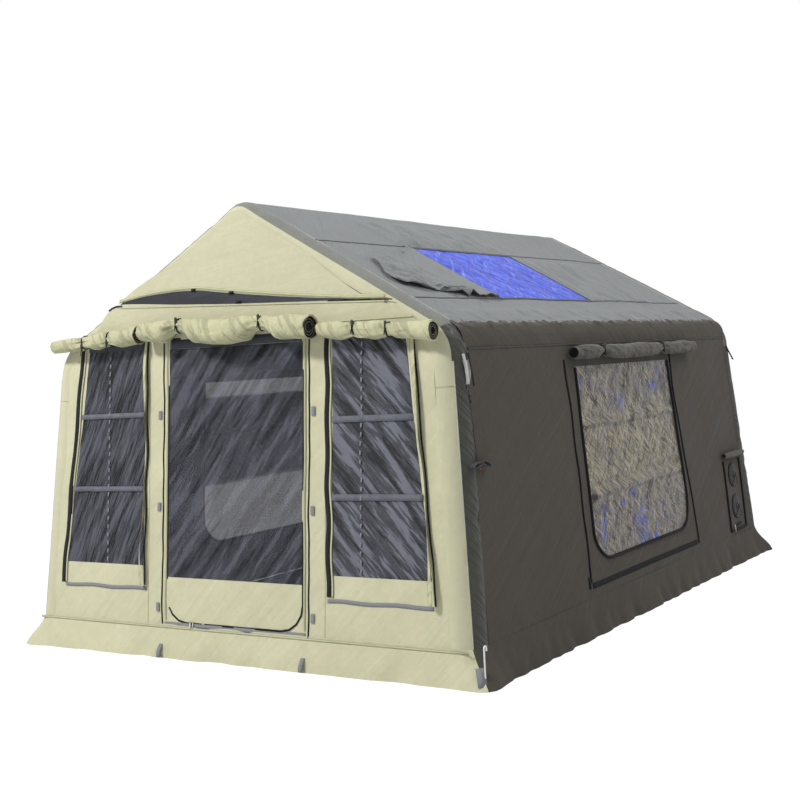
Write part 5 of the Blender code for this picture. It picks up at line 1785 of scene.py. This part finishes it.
    def window_tapes(self, side: Side) -> None:
        """The webbing and the stitches that cross a window's net.

        Args:
            side: Which window.
        """
        net, word, sign = self.meshes[side.word], side.word, side.value
        right = side is Side.RIGHT
        for height in (1235, 855) if right else (885, 1285):
            b = height / 1000
            reach = self.net_edge + self.net_width - self.net_lean * (b - self.net_foot)
            ends = [(sign * self.net_edge, b), (sign * reach, b + 0.006 * sign)]
            self.tape(f"{word}_net_tape_{height}", net, ends, 0.032 if right else 0.028, NET_TAPE,
                      lift=0.0045)
        x = 0.80 if right else -0.885
        for k in range(26):
            b = 0.49 + self.stitch_pitch * k
            self.tape(f"{word}_net_stitch_{k}", net, [(x, b), (x + 0.002, b + 0.022)], 0.009, PALE_TAPE,
                      lift=0.006)

    def door_side(self, side: Side) -> None:
        """The cover's zip, the edge and the toggles beside the door.

        Args:
            side: Which side of the door.
        """
        front, name, sign = self.walls.front, f"door_{side.word}", side.value
        zip_line = [(sign * (self.door_seam + 0.0012 * math.sin(31 * b)), b)
                    for b in (0.16 + 0.0308 * k for k in range(50))]
        self.line(f"{name}_cover_zip", front, zip_line, 0.0045, BLACK_TAPE)
        edge = sign * self.door_edge
        self.line(f"{name}_edge", front, [(edge, 0.20), (edge, 1.67)], 0.0070, KHAKI_SEAM)
        for k, b in enumerate(self.tab_heights):
            tab = Shape.block(front.point(sign * 0.512, b, 0.004), (X, FRONT_UP, -Y), (0.022, 0.045, 0.006),
                              0.002)
            self.add(f"{name}_tab_{k}", tab, GREY_TAPE)

    def door_trims(self) -> None:
        """A strip of dark vent net laid under each roll, which paints the shadow that the roll casts; the
        door's fastening strip and its zip's pulls.
        """
        front = self.walls.front
        # Painted shadow: dark net strips on the cloth just under the door roll and the window rolls.
        for word, start, end, b in (("door", -0.440, 0.440, 1.6603), ("right_window", 0.630, 1.055, 1.668),
                                    ("left_window", -0.630, -1.055, 1.668)):
            self.tape(f"{word}_head_net", front, [(start, b), (end, b)], self.head_net_width, VENT_NET,
                      lift=0.0022)
        self.tape("door_fastening_strip", front, [(-0.468, 0.172), (0.468, 0.172)], 0.026, GREY_TAPE,
                  lift=0.0016, thick=0.0016)
        for name, line, width, lift in (("door_zip_pull", [(-0.28, 0.190), (-0.279, 0.160)], 0.009, 0.010),
                                        ("door_zip_pull_inner", [(-0.262, 0.19), (-0.262, 0.165)], 0.006,
                                         0.009)):
            self.tape(name, front, line, width, PIPING, "zip_slider", lift, 0.003)




@dataclass(frozen=True)
class RollPlan:
    """Where a rolled cover hangs and how thick it is along its length."""

    node: str
    body: str
    surface: Surface
    start: float
    end: float
    seam: float
    radius: float
    shares: Sequence[tuple[float, float, float]]
    finish: Finish
    ties: Sequence[float] = ()
    droop: Spot = (0.0, 0.0)
    rough: float = 0.15

    @property
    def length(self) -> float:
        """The roll's length."""
        return abs(self.end - self.start)

    def profile(self, share: float) -> Spot:
        """Radius and sag of the roll, as shares of its largest radius.

        Args:
            share: A share of the roll's length.

        Returns:
            The shares of radius and sag.
        """
        for (a, wide_a, sag_a), (b, wide_b, sag_b) in zip(self.shares, self.shares[1:]):
            if share <= b:
                mix = fade(share, a, b)
                return wide_a + (wide_b - wide_a) * mix, sag_a + (sag_b - sag_a) * mix
        return self.shares[-1][1:]

    def station(self, share: float, scale: float = 1.0) -> Matrix:
        """A ring's place, turned so that its X faces out of the wall.

        Args:
            share: A share of the roll's length.
            scale: Share of the roll's own radius there.

        Returns:
            The ring's matrix.
        """
        wide, sag = self.profile(share)
        along = self.start + (self.end - self.start) * share
        low = self.droop[0] + (self.droop[1] - self.droop[0]) * share
        centre = self.surface.place(along, self.seam - low - self.radius * (1 + sag), self.radius + 0.0003)
        out = self.surface.normal(centre)
        ahead = self.surface.place(along + 0.01, self.seam, 0) - self.surface.place(along, self.seam, 0)
        way = (ahead - out * ahead.dot(out)).normalized() * (1 if self.end > self.start else -1)
        up = way.cross(out)
        size = self.radius * wide * scale
        return Matrix.Translation(centre) @ Matrix((out * size, up * size, way)).transposed().to_4x4()


@dataclass
class RolledCovers(Assembly):
    """The window and door covers, rolled up over their openings."""

    walls: Walls
    step: float = 0.012
    sides: int = 40
    hollow: float = 0.03
    tie_reach: float = 0.11
    tie_pinch: float = 0.36
    door_swing_top: float = 1.655
    door_squash: float = 0.55

    def build(self) -> None:
        """Makes every roll."""
        for plan in self.plans():
            self.roll(plan)

    def plans(self) -> list[RollPlan]:
        """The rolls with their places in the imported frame."""
        door = (
            (0.00, 0.74, 0.04), (0.06, 0.82, 0.06), (0.14, 0.92, 0.10), (0.22, 0.52, -0.34),
            (0.26, 0.52, -0.34),
            (0.34, 0.90, 0.16), (0.44, 1.06, 0.36), (0.52, 1.06, 0.34), (0.62, 0.94, 0.10),
            (0.71, 0.52, -0.34),
            (0.75, 0.52, -0.34), (0.84, 0.92, 0.10), (0.94, 0.94, 0.12), (1.00, 0.98, 0.12),
        )
        side = (
            (0.00, 0.78, 0.00), (0.08, 0.92, 0.04), (0.20, 0.98, 0.10), (0.32, 0.72, -0.08),
            (0.40, 0.90, 0.00),
            (0.50, 1.00, 0.08), (0.62, 0.72, -0.06), (0.70, 0.86, 0.04), (0.86, 0.80, 0.00),
            (1.00, 0.76, 0.00),
        )
        open_end = (*side[:-2], (0.86, 0.96, 0.00), (1.00, 1.14, 0.04))
        open_start = ((0.00, 1.20, 0.04), (0.10, 1.06, 0.06), *side[2:])
        wall = (
            (0.00, 0.74, 0.00), (0.06, 0.88, 0.02), (0.16, 0.84, -0.04), (0.20, 0.58, -0.14),
            (0.24, 0.84, -0.04),
            (0.40, 1.00, 0.08), (0.52, 1.00, 0.08), (0.64, 0.88, 0.00), (0.69, 0.56, -0.14),
            (0.74, 0.86, 0.00), (0.88, 0.92, 0.04), (1.00, 0.72, 0.00),
        )
        port = ((0.00, 0.80, 0.00), (0.35, 1.00, 0.04), (0.70, 0.92, 0.04), (1.00, 0.76, 0.00))
        high = self.walls.front_high
        plans = [
            RollPlan("door_cover_roll", "door_roll", high, -0.585, 0.545, 1.785, 0.066, door, KHAKI_ROLLED,
                     (0.24, 0.73), (-0.018, 0.018)),
            RollPlan("front_right_cover_roll", "front_right_roll", high, 0.58, 1.24, 1.755, 0.044, open_end,
                     KHAKI_ROLLED, (0.33, 0.62), (0.026, 0.072)),
            RollPlan("front_left_cover_roll", "front_left_roll", high, -0.62, -1.28, 1.755, 0.046, open_start,
                     KHAKI_ROLLED, (0.33, 0.62), (-0.012, 0.030)),
            RollPlan("port_cover_roll", "port_roll", self.walls.flanks[Side.RIGHT], 1.50, 1.90, 0.752, 0.022,
                     port, OLIVE_ROLLED, rough=0.05),
        ]
        return plans + [RollPlan(f"{side.word}_wall_cover_roll", f"{side.word}_wall_roll",
                                 self.walls.flanks[side],
                                 -0.78, 1.08, 1.545, 0.044, wall, GREY_ROLLED, (0.20, 0.69)) for side in Side]

    def roll(self, plan: RollPlan) -> None:
        """Makes one roll with its hollow ends, its coil and its ties.

        Args:
            plan: Where it hangs and how thick it is.
        """
        count = max(24, round(plan.length / self.step))
        reach = self.hollow / plan.length
        stations = [plan.station(reach, 0.80), plan.station(0.003, 0.86),
                    *(plan.station(k / count) for k in range(count + 1)),
                    plan.station(0.997, 0.86), plan.station(1 - reach, 0.80)]
        bm = Shape.sweep(stations, self.sides, True, self.creases(plan))
        if plan.body == "door_roll":
            top = self.door_swing_top
            for vert in bm.verts:
                vert.co.z = max(vert.co.z, top - self.door_squash * (top - vert.co.z))
        run = bm.verts.layers.float["run"]
        far = run_of([station.translation for station in stations])
        # The end caps take the near-black finish: painted shadow inside the roll's hollow ends.
        for face in bm.faces:
            places = [vert[run] for vert in face.verts]
            if max(places) < far[1] + 1e-4 or min(places) > far[-2] - 1e-4:
                face.material_index = 1
        piece = self.add(plan.node.replace("cover_roll", "rolled_cover"), bm, (plan.finish, SHADOW),
                         plan.body, [plan.node])
        self.coil(plan)
        for k, tie in enumerate(plan.ties):
            self.tie(plan, k, tie)

    def creases(self, plan: RollPlan) -> Field:
        """The creases of a rolled cloth, which is gathered at its ties.

        Args:
            plan: The roll.

        Returns:
            How much a ring grows, by distance along the roll and angle round it.
        """
        loose = Folds(64, 0.050, plan.rough * 1.3, stretch=3.0, sharp=0.3, seed=31 + len(plan.node))
        broad = Folds(35, 0.13, plan.rough * 1.5, stretch=2.5, seed=32 + len(plan.node))
        entry = self.hollow + 0.002

        def swell(run: float, turn: float) -> float:
            """The growth at one place."""
            wave = plan.radius * (turn if turn > 0 else turn + 2 * math.pi)
            seam = fade(abs(abs(turn) - math.pi), 0.0, 0.6) if turn < 0 else 1.0
            height = loose.at(run, wave) + broad.at(run, wave)
            for tie in plan.ties:
                near = 1 - fade(abs(run - entry - tie * plan.length), 0.0, self.tie_reach)
                spot = Vector((math.cos(turn) * 3.2, math.sin(turn) * 3.2, tie * 9))
                height += near * self.tie_pinch * noise.noise(spot)
            return height * min(1.0, seam + 0.3)
        return swell

    def coil(self, plan: RollPlan) -> None:
        """The edge of the rolled cloth, seen as a coil in each end of the roll.

        Args:
            plan: The roll.
        """
        for word, share in (("start", 0.012), ("end", 0.988)):
            station = plan.station(share)
            points = [on_ring(station, 0.28 * k, 0.84 - 0.0095 * k) for k in range(56)]
            self.add(f"{plan.node}_{word}_coil", Shape.cord(points, 0.0016, resolution=1), plan.finish,
                     plan.body)

    def tie(self, plan: RollPlan, number: int, share: float) -> None:
        """A tie round the roll: the elastic, and a toggle with its tails.

        Args:
            plan: The roll.
            number: 0 for the first tie along it, 1 for the second.
            share: The tie's place, as a share of the roll's length.
        """
        ring = plan.station(share)
        points = [on_ring(ring, a, 1.10, 0.002 * math.sin(3 * a)) for a in turns(self.sides)]
        node = f"{plan.body}_tie_{number}"
        replaced = [f"door_roll_{('left', 'right')[number]}_tie"] if plan.body == "door_roll" else []
        self.add(node, Shape.cord(points, 0.0035, True, 2), BLACK_TAPE, plan.body, replaced)
        out = ring.to_3x3() @ Vector((1, 0, 0))
        front = ring @ Vector((1.02, -0.75, 0))
        toggle = Shape.spun(front, Z, [(-0.016, 0.0), (-0.016, 0.005), (-0.012, 0.007), (0.012, 0.007),
                                       (0.016, 0.005), (0.016, 0.0)], 16)
        self.add(f"{node}_toggle", toggle, BLACK, plan.body)
        for side in (-1, 1):
            tail = [front + Z * (-0.012 - 0.010 * k) + out * (0.10 * math.sin(0.5 * k)) +
                    (ring.to_3x3() @ Z) * side * (0.002 + 0.0015 * k) for k in range(5)]
            self.add(f"{node}_tail_{'left' if side < 0 else 'right'}", Shape.cord(tail, 0.0022, resolution=2),
                     BLACK_TAPE, plan.body)


@dataclass
class SideWalls(Assembly):
    """The two long walls with their film windows, and the rear wall."""

    walls: Walls
    window_front: float = -0.70
    window_rear: float = 0.88
    window_foot: float = 0.35
    window_top: float = 1.42
    window_round: float = 0.20
    window_lean: float = 0.20
    strip_height: float = 0.235
    eave_seam: float = 1.548
    duct_place: float = 1.695
    duct_heights: Spot = (0.585, 0.365)

    def build(self) -> None:
        """Makes the side and rear walls."""
        for side in Side:
            self.wall(side)
            self.window_trims(side)
        self.port()
        self.sheet("rear_wall_cloth", "rear_wall_panel", self.walls.rear, (X, REAR_UP), KHAKI,
                   rests_on=["rear_arch_sleeve"])
        self.sheet("rear_window_net", "rear_window_mesh", self.walls.rear, (X, REAR_UP), NET,
                   rests_on=["rear_wall_cloth"])

    def lean(self, b: float) -> float:
        """How far the window's rear edge lies forward of its frame at a height."""
        return self.window_lean - 0.10 * (1 - fade(b, self.window_foot, 1.15))

    def skew(self, p: Vector) -> Vector:
        """Draws the window's rear edge forward, as the photographed wall is sewn."""
        share = fade(p.y, self.window_front, self.window_rear) * (1 - fade(p.y, self.window_rear, 1.45))
        return p - Y * self.lean(p.z) * share

    def wall(self, side: Side) -> None:
        """Makes one wall and its film.

        Args:
            side: Which wall.
        """
        word, base, axes = side.word, self.walls.flanks[side], (Y, SIDE_UP[side])
        self.sheet(f"{word}_wall_cloth", f"{word}_wall_panel", base, axes, OLIVE, warp=self.skew)
        film = base.folded((
            Folds(35, 0.09, 0.010, stretch=2, sharp=0.3, seed=41),
            Folds(-55, 0.06, 0.007, stretch=2, seed=42),
            Folds(0, 0.05, 0.004, stretch=12, sharp=0.5, seed=43),
            Bands(((1.10, 0.020), (0.72, 0.026)), 0.03)),
            inside((self.window_front, self.window_foot), (0.70, 1.45), 0.06))
        finish = FILM if side is Side.RIGHT else LEFT_FILM
        self.sheet(f"{word}_film", f"{word}_window_film", film, axes, finish, f"{word}_film", step=0.018,
                   rests_on=[f"{word}_wall_cloth"], warp=self.skew)

    def window_trims(self, side: Side) -> None:
        """The binding, the cover's zips and its fastening strip.

        Args:
            side: Which wall.
        """
        word, base = side.word, self.walls.flanks[side]
        heights = spread(0.255, 1.465, 40)
        front = [(-0.80 + 0.005 * math.sin(17 * b) - 0.02 * fade(b, 1.0, 1.5), b) for b in heights]
        rear = [(0.745 + 0.14 * (1 - fade(b, 0.2, 1.35)) + 0.005 * math.sin(14 * b), b) for b in heights]
        for end, line in (("front", front), ("rear", rear)):
            self.line(f"{word}_cover_{end}_zip", base, line, 0.0060, BLACK_TAPE, lift=0.002)
        edge = [(y - self.lean(z) * fade(y, self.window_front, self.window_rear) + 0.006 * math.sin(23 * z),
                 z)
                for y, z in self.window_edge()]
        self.line(f"{word}_window_binding", base, edge, 0.0090, BLACK_TAPE, lift=0.003)
        level = self.strip_height
        self.tape(f"{word}_fastening_strip", base, [(-0.79, level), (0.86, level)], 0.030, BLACK_TAPE,
                  lift=0.0016, thick=0.0016)
        for end, y in (("front", -0.825), ("rear", 0.885)):
            self.tape(f"{word}_{end}_stop", base, [(y, level - 0.01), (y, level + 0.05)], 0.024, BLACK_TAPE,
                      lift=0.003, thick=0.003)
        eave = [(-1.86, self.eave_seam), (1.86, self.eave_seam)]
        self.tape(f"{word}_eave_seam", base, eave, 0.012, OLIVE_SEAM)
        for end, low, middle, high in (("front", -1.985, -1.93, -1.90), ("rear", 1.935, 1.885, 1.835)):
            self.line(f"{word}_{end}_seam", base, [(low, 0.17), (middle, 0.9), (high, 1.5)], 0.0015,
                      OLIVE_SEAM)

    def window_edge(self) -> list[Spot]:
        """The film's outline, from its top front corner round its foot to its top rear corner."""
        front, rear, foot = self.window_front, self.window_rear, self.window_foot
        corners = [Vector(spot) for spot in ((front, self.window_top), (front, foot), (rear, foot),
                                             (rear, self.window_top))]
        arcs = [bend(*three, self.window_round, 8) for three in zip(corners, corners[1:], corners[2:])]
        return [(p.x, p.y) for p in (corners[0], *arcs[0], *arcs[1], corners[-1])]

    def port(self) -> None:
        """The panel for ducts and cables near the rear."""
        base = self.walls.flanks[Side.RIGHT]
        self.sheet("port_panel_cloth", "port_panel", base, (Y, SIDE_UP[Side.RIGHT]), OLIVE,
                   rests_on=["right_wall_cloth"])
        edge = [(1.53, 0.69), (1.53, 0.205), (1.86, 0.205), (1.86, 0.69)]
        self.line("port_panel_zip", base, edge, 0.0085, BLACK_TAPE, lift=0.003)
        self.tape("port_panel_pull", base, [(1.60, 0.245), (1.603, 0.195)], 0.012, PIPING, lift=0.011,
                  thick=0.003)
        self.tape("port_panel_pull_strap", base, [(1.64, 0.235), (1.76, 0.245)], 0.014, BLACK_TAPE,
                  lift=0.008)
        for word, height in zip(("upper", "lower"), self.duct_heights):
            self.duct(word, height)

    def duct(self, word: str, height: float) -> None:
        """One gathered duct sleeve, closed by its drawstring.

        Args:
            word: Which one.
            height: Height of its middle.
        """
        base = self.walls.flanks[Side.RIGHT]
        centre = base.place(self.duct_place, height, 0.0)
        out = base.normal(centre)
        turn = Matrix.Translation(centre) @ out.to_track_quat("Z", "Y").to_matrix().to_4x4()
        rings = ((0.0845, 0.000), (0.082, 0.004), (0.074, 0.009), (0.056, 0.010), (0.032, 0.013),
                 (0.015, 0.018), (0.016, 0.026), (0.020, 0.030), (0.012, 0.031))
        stations = [turn @ Matrix.Translation((0, 0, z)) @ Matrix.Diagonal((r, r, 1, 1)) for r, z in rings]

        def pleats(run: float, angle: float) -> float:
            """Gathers that deepen toward the drawstring."""
            deep = fade(run, 0.004, 0.06)
            wave = noise.noise(Vector((math.cos(angle) * 4.5, math.sin(angle) * 4.5, 7 * run + height)))
            return deep * (0.20 * math.sin(9 * angle + 2.5 * wave) + 0.35 * wave)

        bm = Shape.sweep(stations, 72, True, pleats)
        self.add(f"{word}_duct_sleeve", bm, DUCT, replaces=[f"{word}_duct_port"], subdivide=1)
        tie = [on_ring(turn, a, 0.0165, 0.020) for a in turns(24)]
        self.add(f"{word}_duct_drawstring", Shape.cord(tie, 0.0022, True, 2), GREY_TAPE)
        for sign in (-1, 1):
            tail = [turn @ Vector((sign * (0.016 + 0.010 * k), -0.012 - 0.013 * k, 0.022 - 0.002 * k))
                    for k in range(6)]
            self.add(f"{word}_duct_cord_{'left' if sign < 0 else 'right'}",
                     Shape.cord(tail, 0.0018, resolution=2), BLACK_TAPE)


@dataclass(frozen=True)
class Bands:
    """Level creases across a film, left by its folding."""

    rows: Sequence[Spot]
    width: float

    def at(self, a: float, b: float) -> float:
        """Height of the creases at a place."""
        total = 0.0
        for level, height in self.rows:
            off = b - level - 0.02 * math.sin(2.3 * a + level)
            total += height * math.exp(-(off / self.width) ** 2)
            total -= height * 0.8 * math.exp(-((off - self.width * 1.2) / self.width) ** 2)
        return total


@dataclass
class Roof(Assembly):
    """The roof cloth, the skylight and its cover flap."""

    walls: Walls
    seam_places: Spot = (0.432, 1.012)
    sky_low: Spot = (-0.90, 0.445)
    sky_high: Spot = (0.30, 1.005)
    flap_seam: float = -0.912
    flap_size: Spot = (0.84, 0.63)
    flap_area: float = 0.42

    def build(self) -> None:
        """Makes the roof."""
        self.sheet("ridge_roof_cloth", "ridge_roof_panel", self.walls.roofs[Side.RIGHT], (Y, X), GREY,
                   step=0.02)
        for side in Side:
            word, base = side.word, self.walls.roofs[side]
            cloth = self.sheet(f"{word}_roof_cloth", f"{word}_roof_panel", base, (Y, ROOF_DOWN[side]),
                               (GREY, OLIVE), step=0.018)
            # Faces below the eave bend take the dark wall cloth, with a wavering edge: the wall's own colour,
            # and also painted shade where the grey roof cloth turns under the eave.
            for face in cloth.data.polygons:
                wave = noise.noise(Vector((face.center.y * 22, side.value, 0)))
                face.material_index = int(face.center.z < ENV.eave_height + 0.035 + 0.020 * wave)
            for seam, at in zip(("upper", "lower"), self.seam_places):
                self.tape(f"{word}_roof_{seam}_seam", base, [(-1.80, at), (1.80, at)], 0.010, GREY_SEAM,
                          lift=0.0012)
        self.skylight()
        self.flap()

    def skylight(self) -> None:
        """The blue film and its hem."""
        base, (front, top), (rear, low) = self.walls.roofs[Side.RIGHT], self.sky_low, self.sky_high
        folds = (Folds(25, 0.10, 0.008, stretch=2, sharp=0.3, seed=51), Folds(-65, 0.05, 0.004, seed=52))
        film = base.folded(folds, inside(self.sky_low, self.sky_high, 0.04))
        self.sheet("skylight_blue_film", "skylight_film", film, (Y, ROOF_DOWN[Side.RIGHT]), SKY_FILM,
                   step=0.018, rests_on=["right_roof_cloth"])
        corners = [(rear, top), (front, top), (front, low), (rear, low), (rear, top)]
        for word, run in zip(("upper", "front", "lower", "rear"), zip(corners, corners[1:])):
            self.tape(f"skylight_{word}_hem", base, run, 0.016, GREY_SEAM, lift=0.0016)

    @staticmethod
    def reach(x: float) -> float:
        """How far forward the folded flap lies at a distance from the ridge, as a share of its length."""
        return 0.06 + 0.78 * fade(x, 0.44, 0.66) + 0.16 * fade(x, 0.66, 0.85) - 0.60 * fade(x, 0.87, 1.005)

    def flap(self) -> None:
        """The skylight's cover, folded forward and crumpled."""
        out = Vector((ENV.slope, 0, 1)).normalized()
        bm = Shape.from_node("skylight_flap")
        Shape.skin(bm, out)
        for axis in (Y, ROOF_DOWN[Side.RIGHT]):
            Shape.slice(bm, axis, 0.016)
        ridges = (Folds(62, 0.075, 0.020, stretch=3, sharp=0.5, seed=61),
                  Folds(20, 0.05, 0.012, stretch=3, seed=62), Folds(-30, 0.03, 0.005, stretch=3, seed=63))
        for vert in bm.verts:
            far = (self.flap_seam - vert.co.y) / self.flap_size[0]
            x = vert.co.x
            y = self.flap_seam - self.flap_size[0] * far * self.reach(x)
            loose = fade(far, 0.25, 0.9) * (0.35 + 0.65 * fade(x, 0.5, 0.8)) + fade(x, 0.93, 1.0) * 0.6
            height = 0.006 + loose * (0.006 + 1.1 * sum(each.at(y, x) for each in ridges))
            height *= fade(far, 0.0, 0.06) * 0.9 + 0.1
            vert.co = ENV.roof(Side.RIGHT, y, x, max(0.002, height) + 0.001)
        Shape.map_flat(bm, Y, ROOF_DOWN[Side.RIGHT])
        piece = self.add("skylight_cover", bm, GREY, "flap", ["skylight_flap"], wall=0.0016)
        self.declare_sheet(piece, self.flap_size, self.flap_area, "folded", ["right_roof_cloth"])


@dataclass
class Base(Assembly):
    """The mud skirts, the ground sheet, the peg and its loop."""

    skirt_top: float = 0.158
    flare_out: float = 0.012
    corner_out: float = 0.036
    tuck_up: float = 0.012
    tuck_in: float = 0.004

    def build(self) -> None:
        """Makes the base."""
        self.skirts()
        self.floor()
        self.loops()
        self.seam()

    def skirts(self) -> None:
        """The four skirts."""
        flare = Surface(lambda a, b, lift: Vector((a, 0, b)), lambda p: (p.x + 1.7 * p.y, p.z), self.outward,
                        (Folds(62, 0.16, 0.022, stretch=2.5, sharp=0.2, seed=71),
                         Folds(20, 0.07, 0.008, stretch=3, seed=72)),
                        calm=lambda a, b: 1 - fade(b, 0.02, 0.15))
        for word in ("front", "right", "rear", "left"):
            across = X if word in ("front", "rear") else Y
            finish = KHAKI_LOW if word == "front" else OLIVE
            self.sheet(f"{word}_skirt_cloth", f"{word}_skirt", flare, (across, Z), finish, held="hung",
                       rests_on=[f"{word}_wall_cloth" if word != "front" else "door_surround_cloth"],
                       warp=self.flare)

    def floor(self) -> None:
        """The ground sheet, which lies in slow waves."""
        lying = Surface(lambda a, b, lift: Vector((a, b, lift)), lambda p: (p.x, p.y), lambda p: Z,
                        (Patch(Folds(30, 0.35, 0.006, seed=73), lambda a, b: 1.0),))
        self.sheet("ground_cloth", "ground_sheet", lying, (X, Y), FLOOR_CLOTH, step=0.10, held="laid",
                   rests_on=["front_skirt_cloth"])

    def loops(self) -> None:
        """The peg and the webbing loops along the front skirt's foot."""
        self.dress_node("ground_peg", WHITE_METAL)
        self.dress_node("peg_loop", GREY_TAPE)
        for word, x in (("left", -0.47), ("right", 0.47)):
            top, low = Vector((x, -2.142, 0.075)), Vector((x, -2.178, 0.004))
            path = [top.lerp(low, k / 4) - Y * 0.012 * math.sin(math.pi * k / 4) for k in range(5)]
            self.add(f"{word}_front_peg_loop", Shape.ribbon(path, X, 0.026), GREY_TAPE, wall=0.003)
        path = [Vector((1.46, -2.135, 0.10)), Vector((1.474, -2.150, 0.05)), Vector((1.484, -2.160, 0.018))]
        self.add("corner_webbing", Shape.ribbon(path, Vector((1, 1, 0)), 0.045), GREY_TAPE, wall=0.003)

    def seam(self) -> None:
        """The seam along the front skirt's top."""
        level, y = self.skirt_top, -ENV.half_length(self.skirt_top) - 0.0045
        line = [Vector((x, y, level)) for x in spread(-1.40, 1.40, 28)]
        self.add("front_skirt_seam", Shape.ribbon(line, Z, 0.012), KHAKI_SEAM, wall=0.001)

    @staticmethod
    def corner(p: Vector) -> float:
        """How close a place is to a corner of the base, from 0 to 1."""
        return fade(abs(p.x), 1.28, 1.46) * fade(abs(p.y), 1.95, 2.12)

    def outward(self, p: Vector) -> Vector:
        """The level direction out of the base at a place."""
        across, along = fade(abs(p.x), 1.36, 1.44), fade(abs(p.y), 2.06, 2.12)
        way = Vector((math.copysign(across, p.x), math.copysign(along, p.y), 0))
        return way.normalized() if way.length else Vector((0, math.copysign(1, p.y), 0))

    def flare(self, p: Vector) -> Vector:
        """Spreads the skirt's foot, most at its corners, and tucks its top behind the wall's foot.

        Args:
            p: A place on the frame's skirt.

        Returns:
            The place on the dressed skirt.
        """
        out, top, low = self.outward(p), fade(p.z, 0.12, 0.155), 1 - fade(p.z, 0.0, ENV.skirt_height)
        pull = Vector((math.copysign(1.0, p.x), math.copysign(0.9, p.y),
                       0)) * self.corner_out * self.corner(p)
        return p + (out * self.flare_out + pull) * low + (Z * self.tuck_up - out * self.tuck_in) * top


@dataclass
class Fittings(Assembly):
    """Guy straps, the guy tab, the valve and the air system inside."""

    strap_drop: float = 0.155
    strap_length: float = 0.10
    tab_width: float = 0.07
    tab_slant: float = 0.55
    loop_top: float = 1.53

    def build(self) -> None:
        """Makes the fittings."""
        for word in ("front_arch_bladder", "rear_arch_bladder", "ridge_air_tube", "right_eave_air_tube",
                     "left_eave_air_tube"):
            self.dress_node(word, BLADDER)
        for word in ("body", "stem", "cap"):
            self.dress_node(f"valve_{word}", BLACK)
        for word, side, end in (("front_left", -1, -1), ("rear_left", -1, 1), ("rear_right", 1, 1)):
            self.strap(word, side, end)
        self.tab()
        self.strap_loop()

    def strap(self, word: str, side: int, end: int) -> None:
        """One hanging webbing strap with a bent tip.

        Args:
            word: Which corner.
            side: 1 for the right side, -1 for the left.
            end: -1 for the front, 1 for the rear.
        """
        path = []
        for share in spread(0.0, 1.0, 8):
            z = ENV.eave_height - self.strap_drop - self.strap_length * share
            x = side * (ENV.half_width(z) + 0.0013 + 0.035 * share ** 1.5)
            path.append(Vector((x, end * ENV.arch_line(z) + 0.012 * math.sin(3 * share), z)))
        self.add(f"{word}_strap", Shape.ribbon(path, Y, 0.028), BLACK_TAPE, replaces=[f"{word}_guy_strap"],
                 wall=0.002)

    def tab(self) -> None:
        """The white guy tab with its fold, over the frame's tab."""
        path = []
        for share in spread(0.0, 1.0, 8):
            z = TAB_TOP - TAB_LENGTH * share
            x = ENV.half_width(z) + 0.003 + 0.006 * math.sin(math.pi * share)
            path.append(Vector((x, -ENV.arch_line(z), z)))
        bm = Shape.ribbon(path, Y, self.tab_width)
        edge, run = bm.verts.layers.float["edge"], bm.verts.layers.float["run"]
        for vert in bm.verts:
            vert.co.y -= vert[edge] * min(1.0, vert[run] / TAB_LENGTH) * self.tab_slant
        self.add("guy_tab_cloth", bm, PIPING, replaces=["front_right_guy_tab"], wall=0.002)
        fold = [spot + Vector((0.004, -0.034 + 0.004 * k, 0.03 - 0.006 * k)) for k,
                spot in enumerate(path[:8])]
        self.add("guy_tab_fold", Shape.ribbon(fold, Vector((0.4, 1, 0)), 0.016), PIPING, wall=0.0016)

    def strap_loop(self) -> None:
        """The black webbing that hangs beside the guy tab."""
        path = []
        for z in spread(self.loop_top, self.loop_top - 0.16, 8):
            x = ENV.half_width(z) + 0.006 + 0.02 * math.sin(9 * (self.loop_top - z))
            path.append(Vector((x, -1.862 + 0.02 * math.sin(8 * z), z)))
        self.add("eave_strap_loop", Shape.ribbon(path, Y, 0.014), BLACK_TAPE, wall=0.0016)


def main() -> None:
    """Builds the stage and dresses every piece of the tent."""
    logging.basicConfig(level=logging.INFO, format="%(message)s")
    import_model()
    Studio().build()
    effects, walls = Effects(), Walls.made()
    assemblies = (GuyLine(effects), AirArches(effects), FrontWall(effects, walls),
                  RolledCovers(effects, walls),
                  SideWalls(effects, walls), Roof(effects, walls), Base(effects), Fittings(effects))
    for assembly in assemblies:
        LOG.info("%s", type(assembly).__name__)
        assembly.build()


if __name__ == "__main__":
    main()
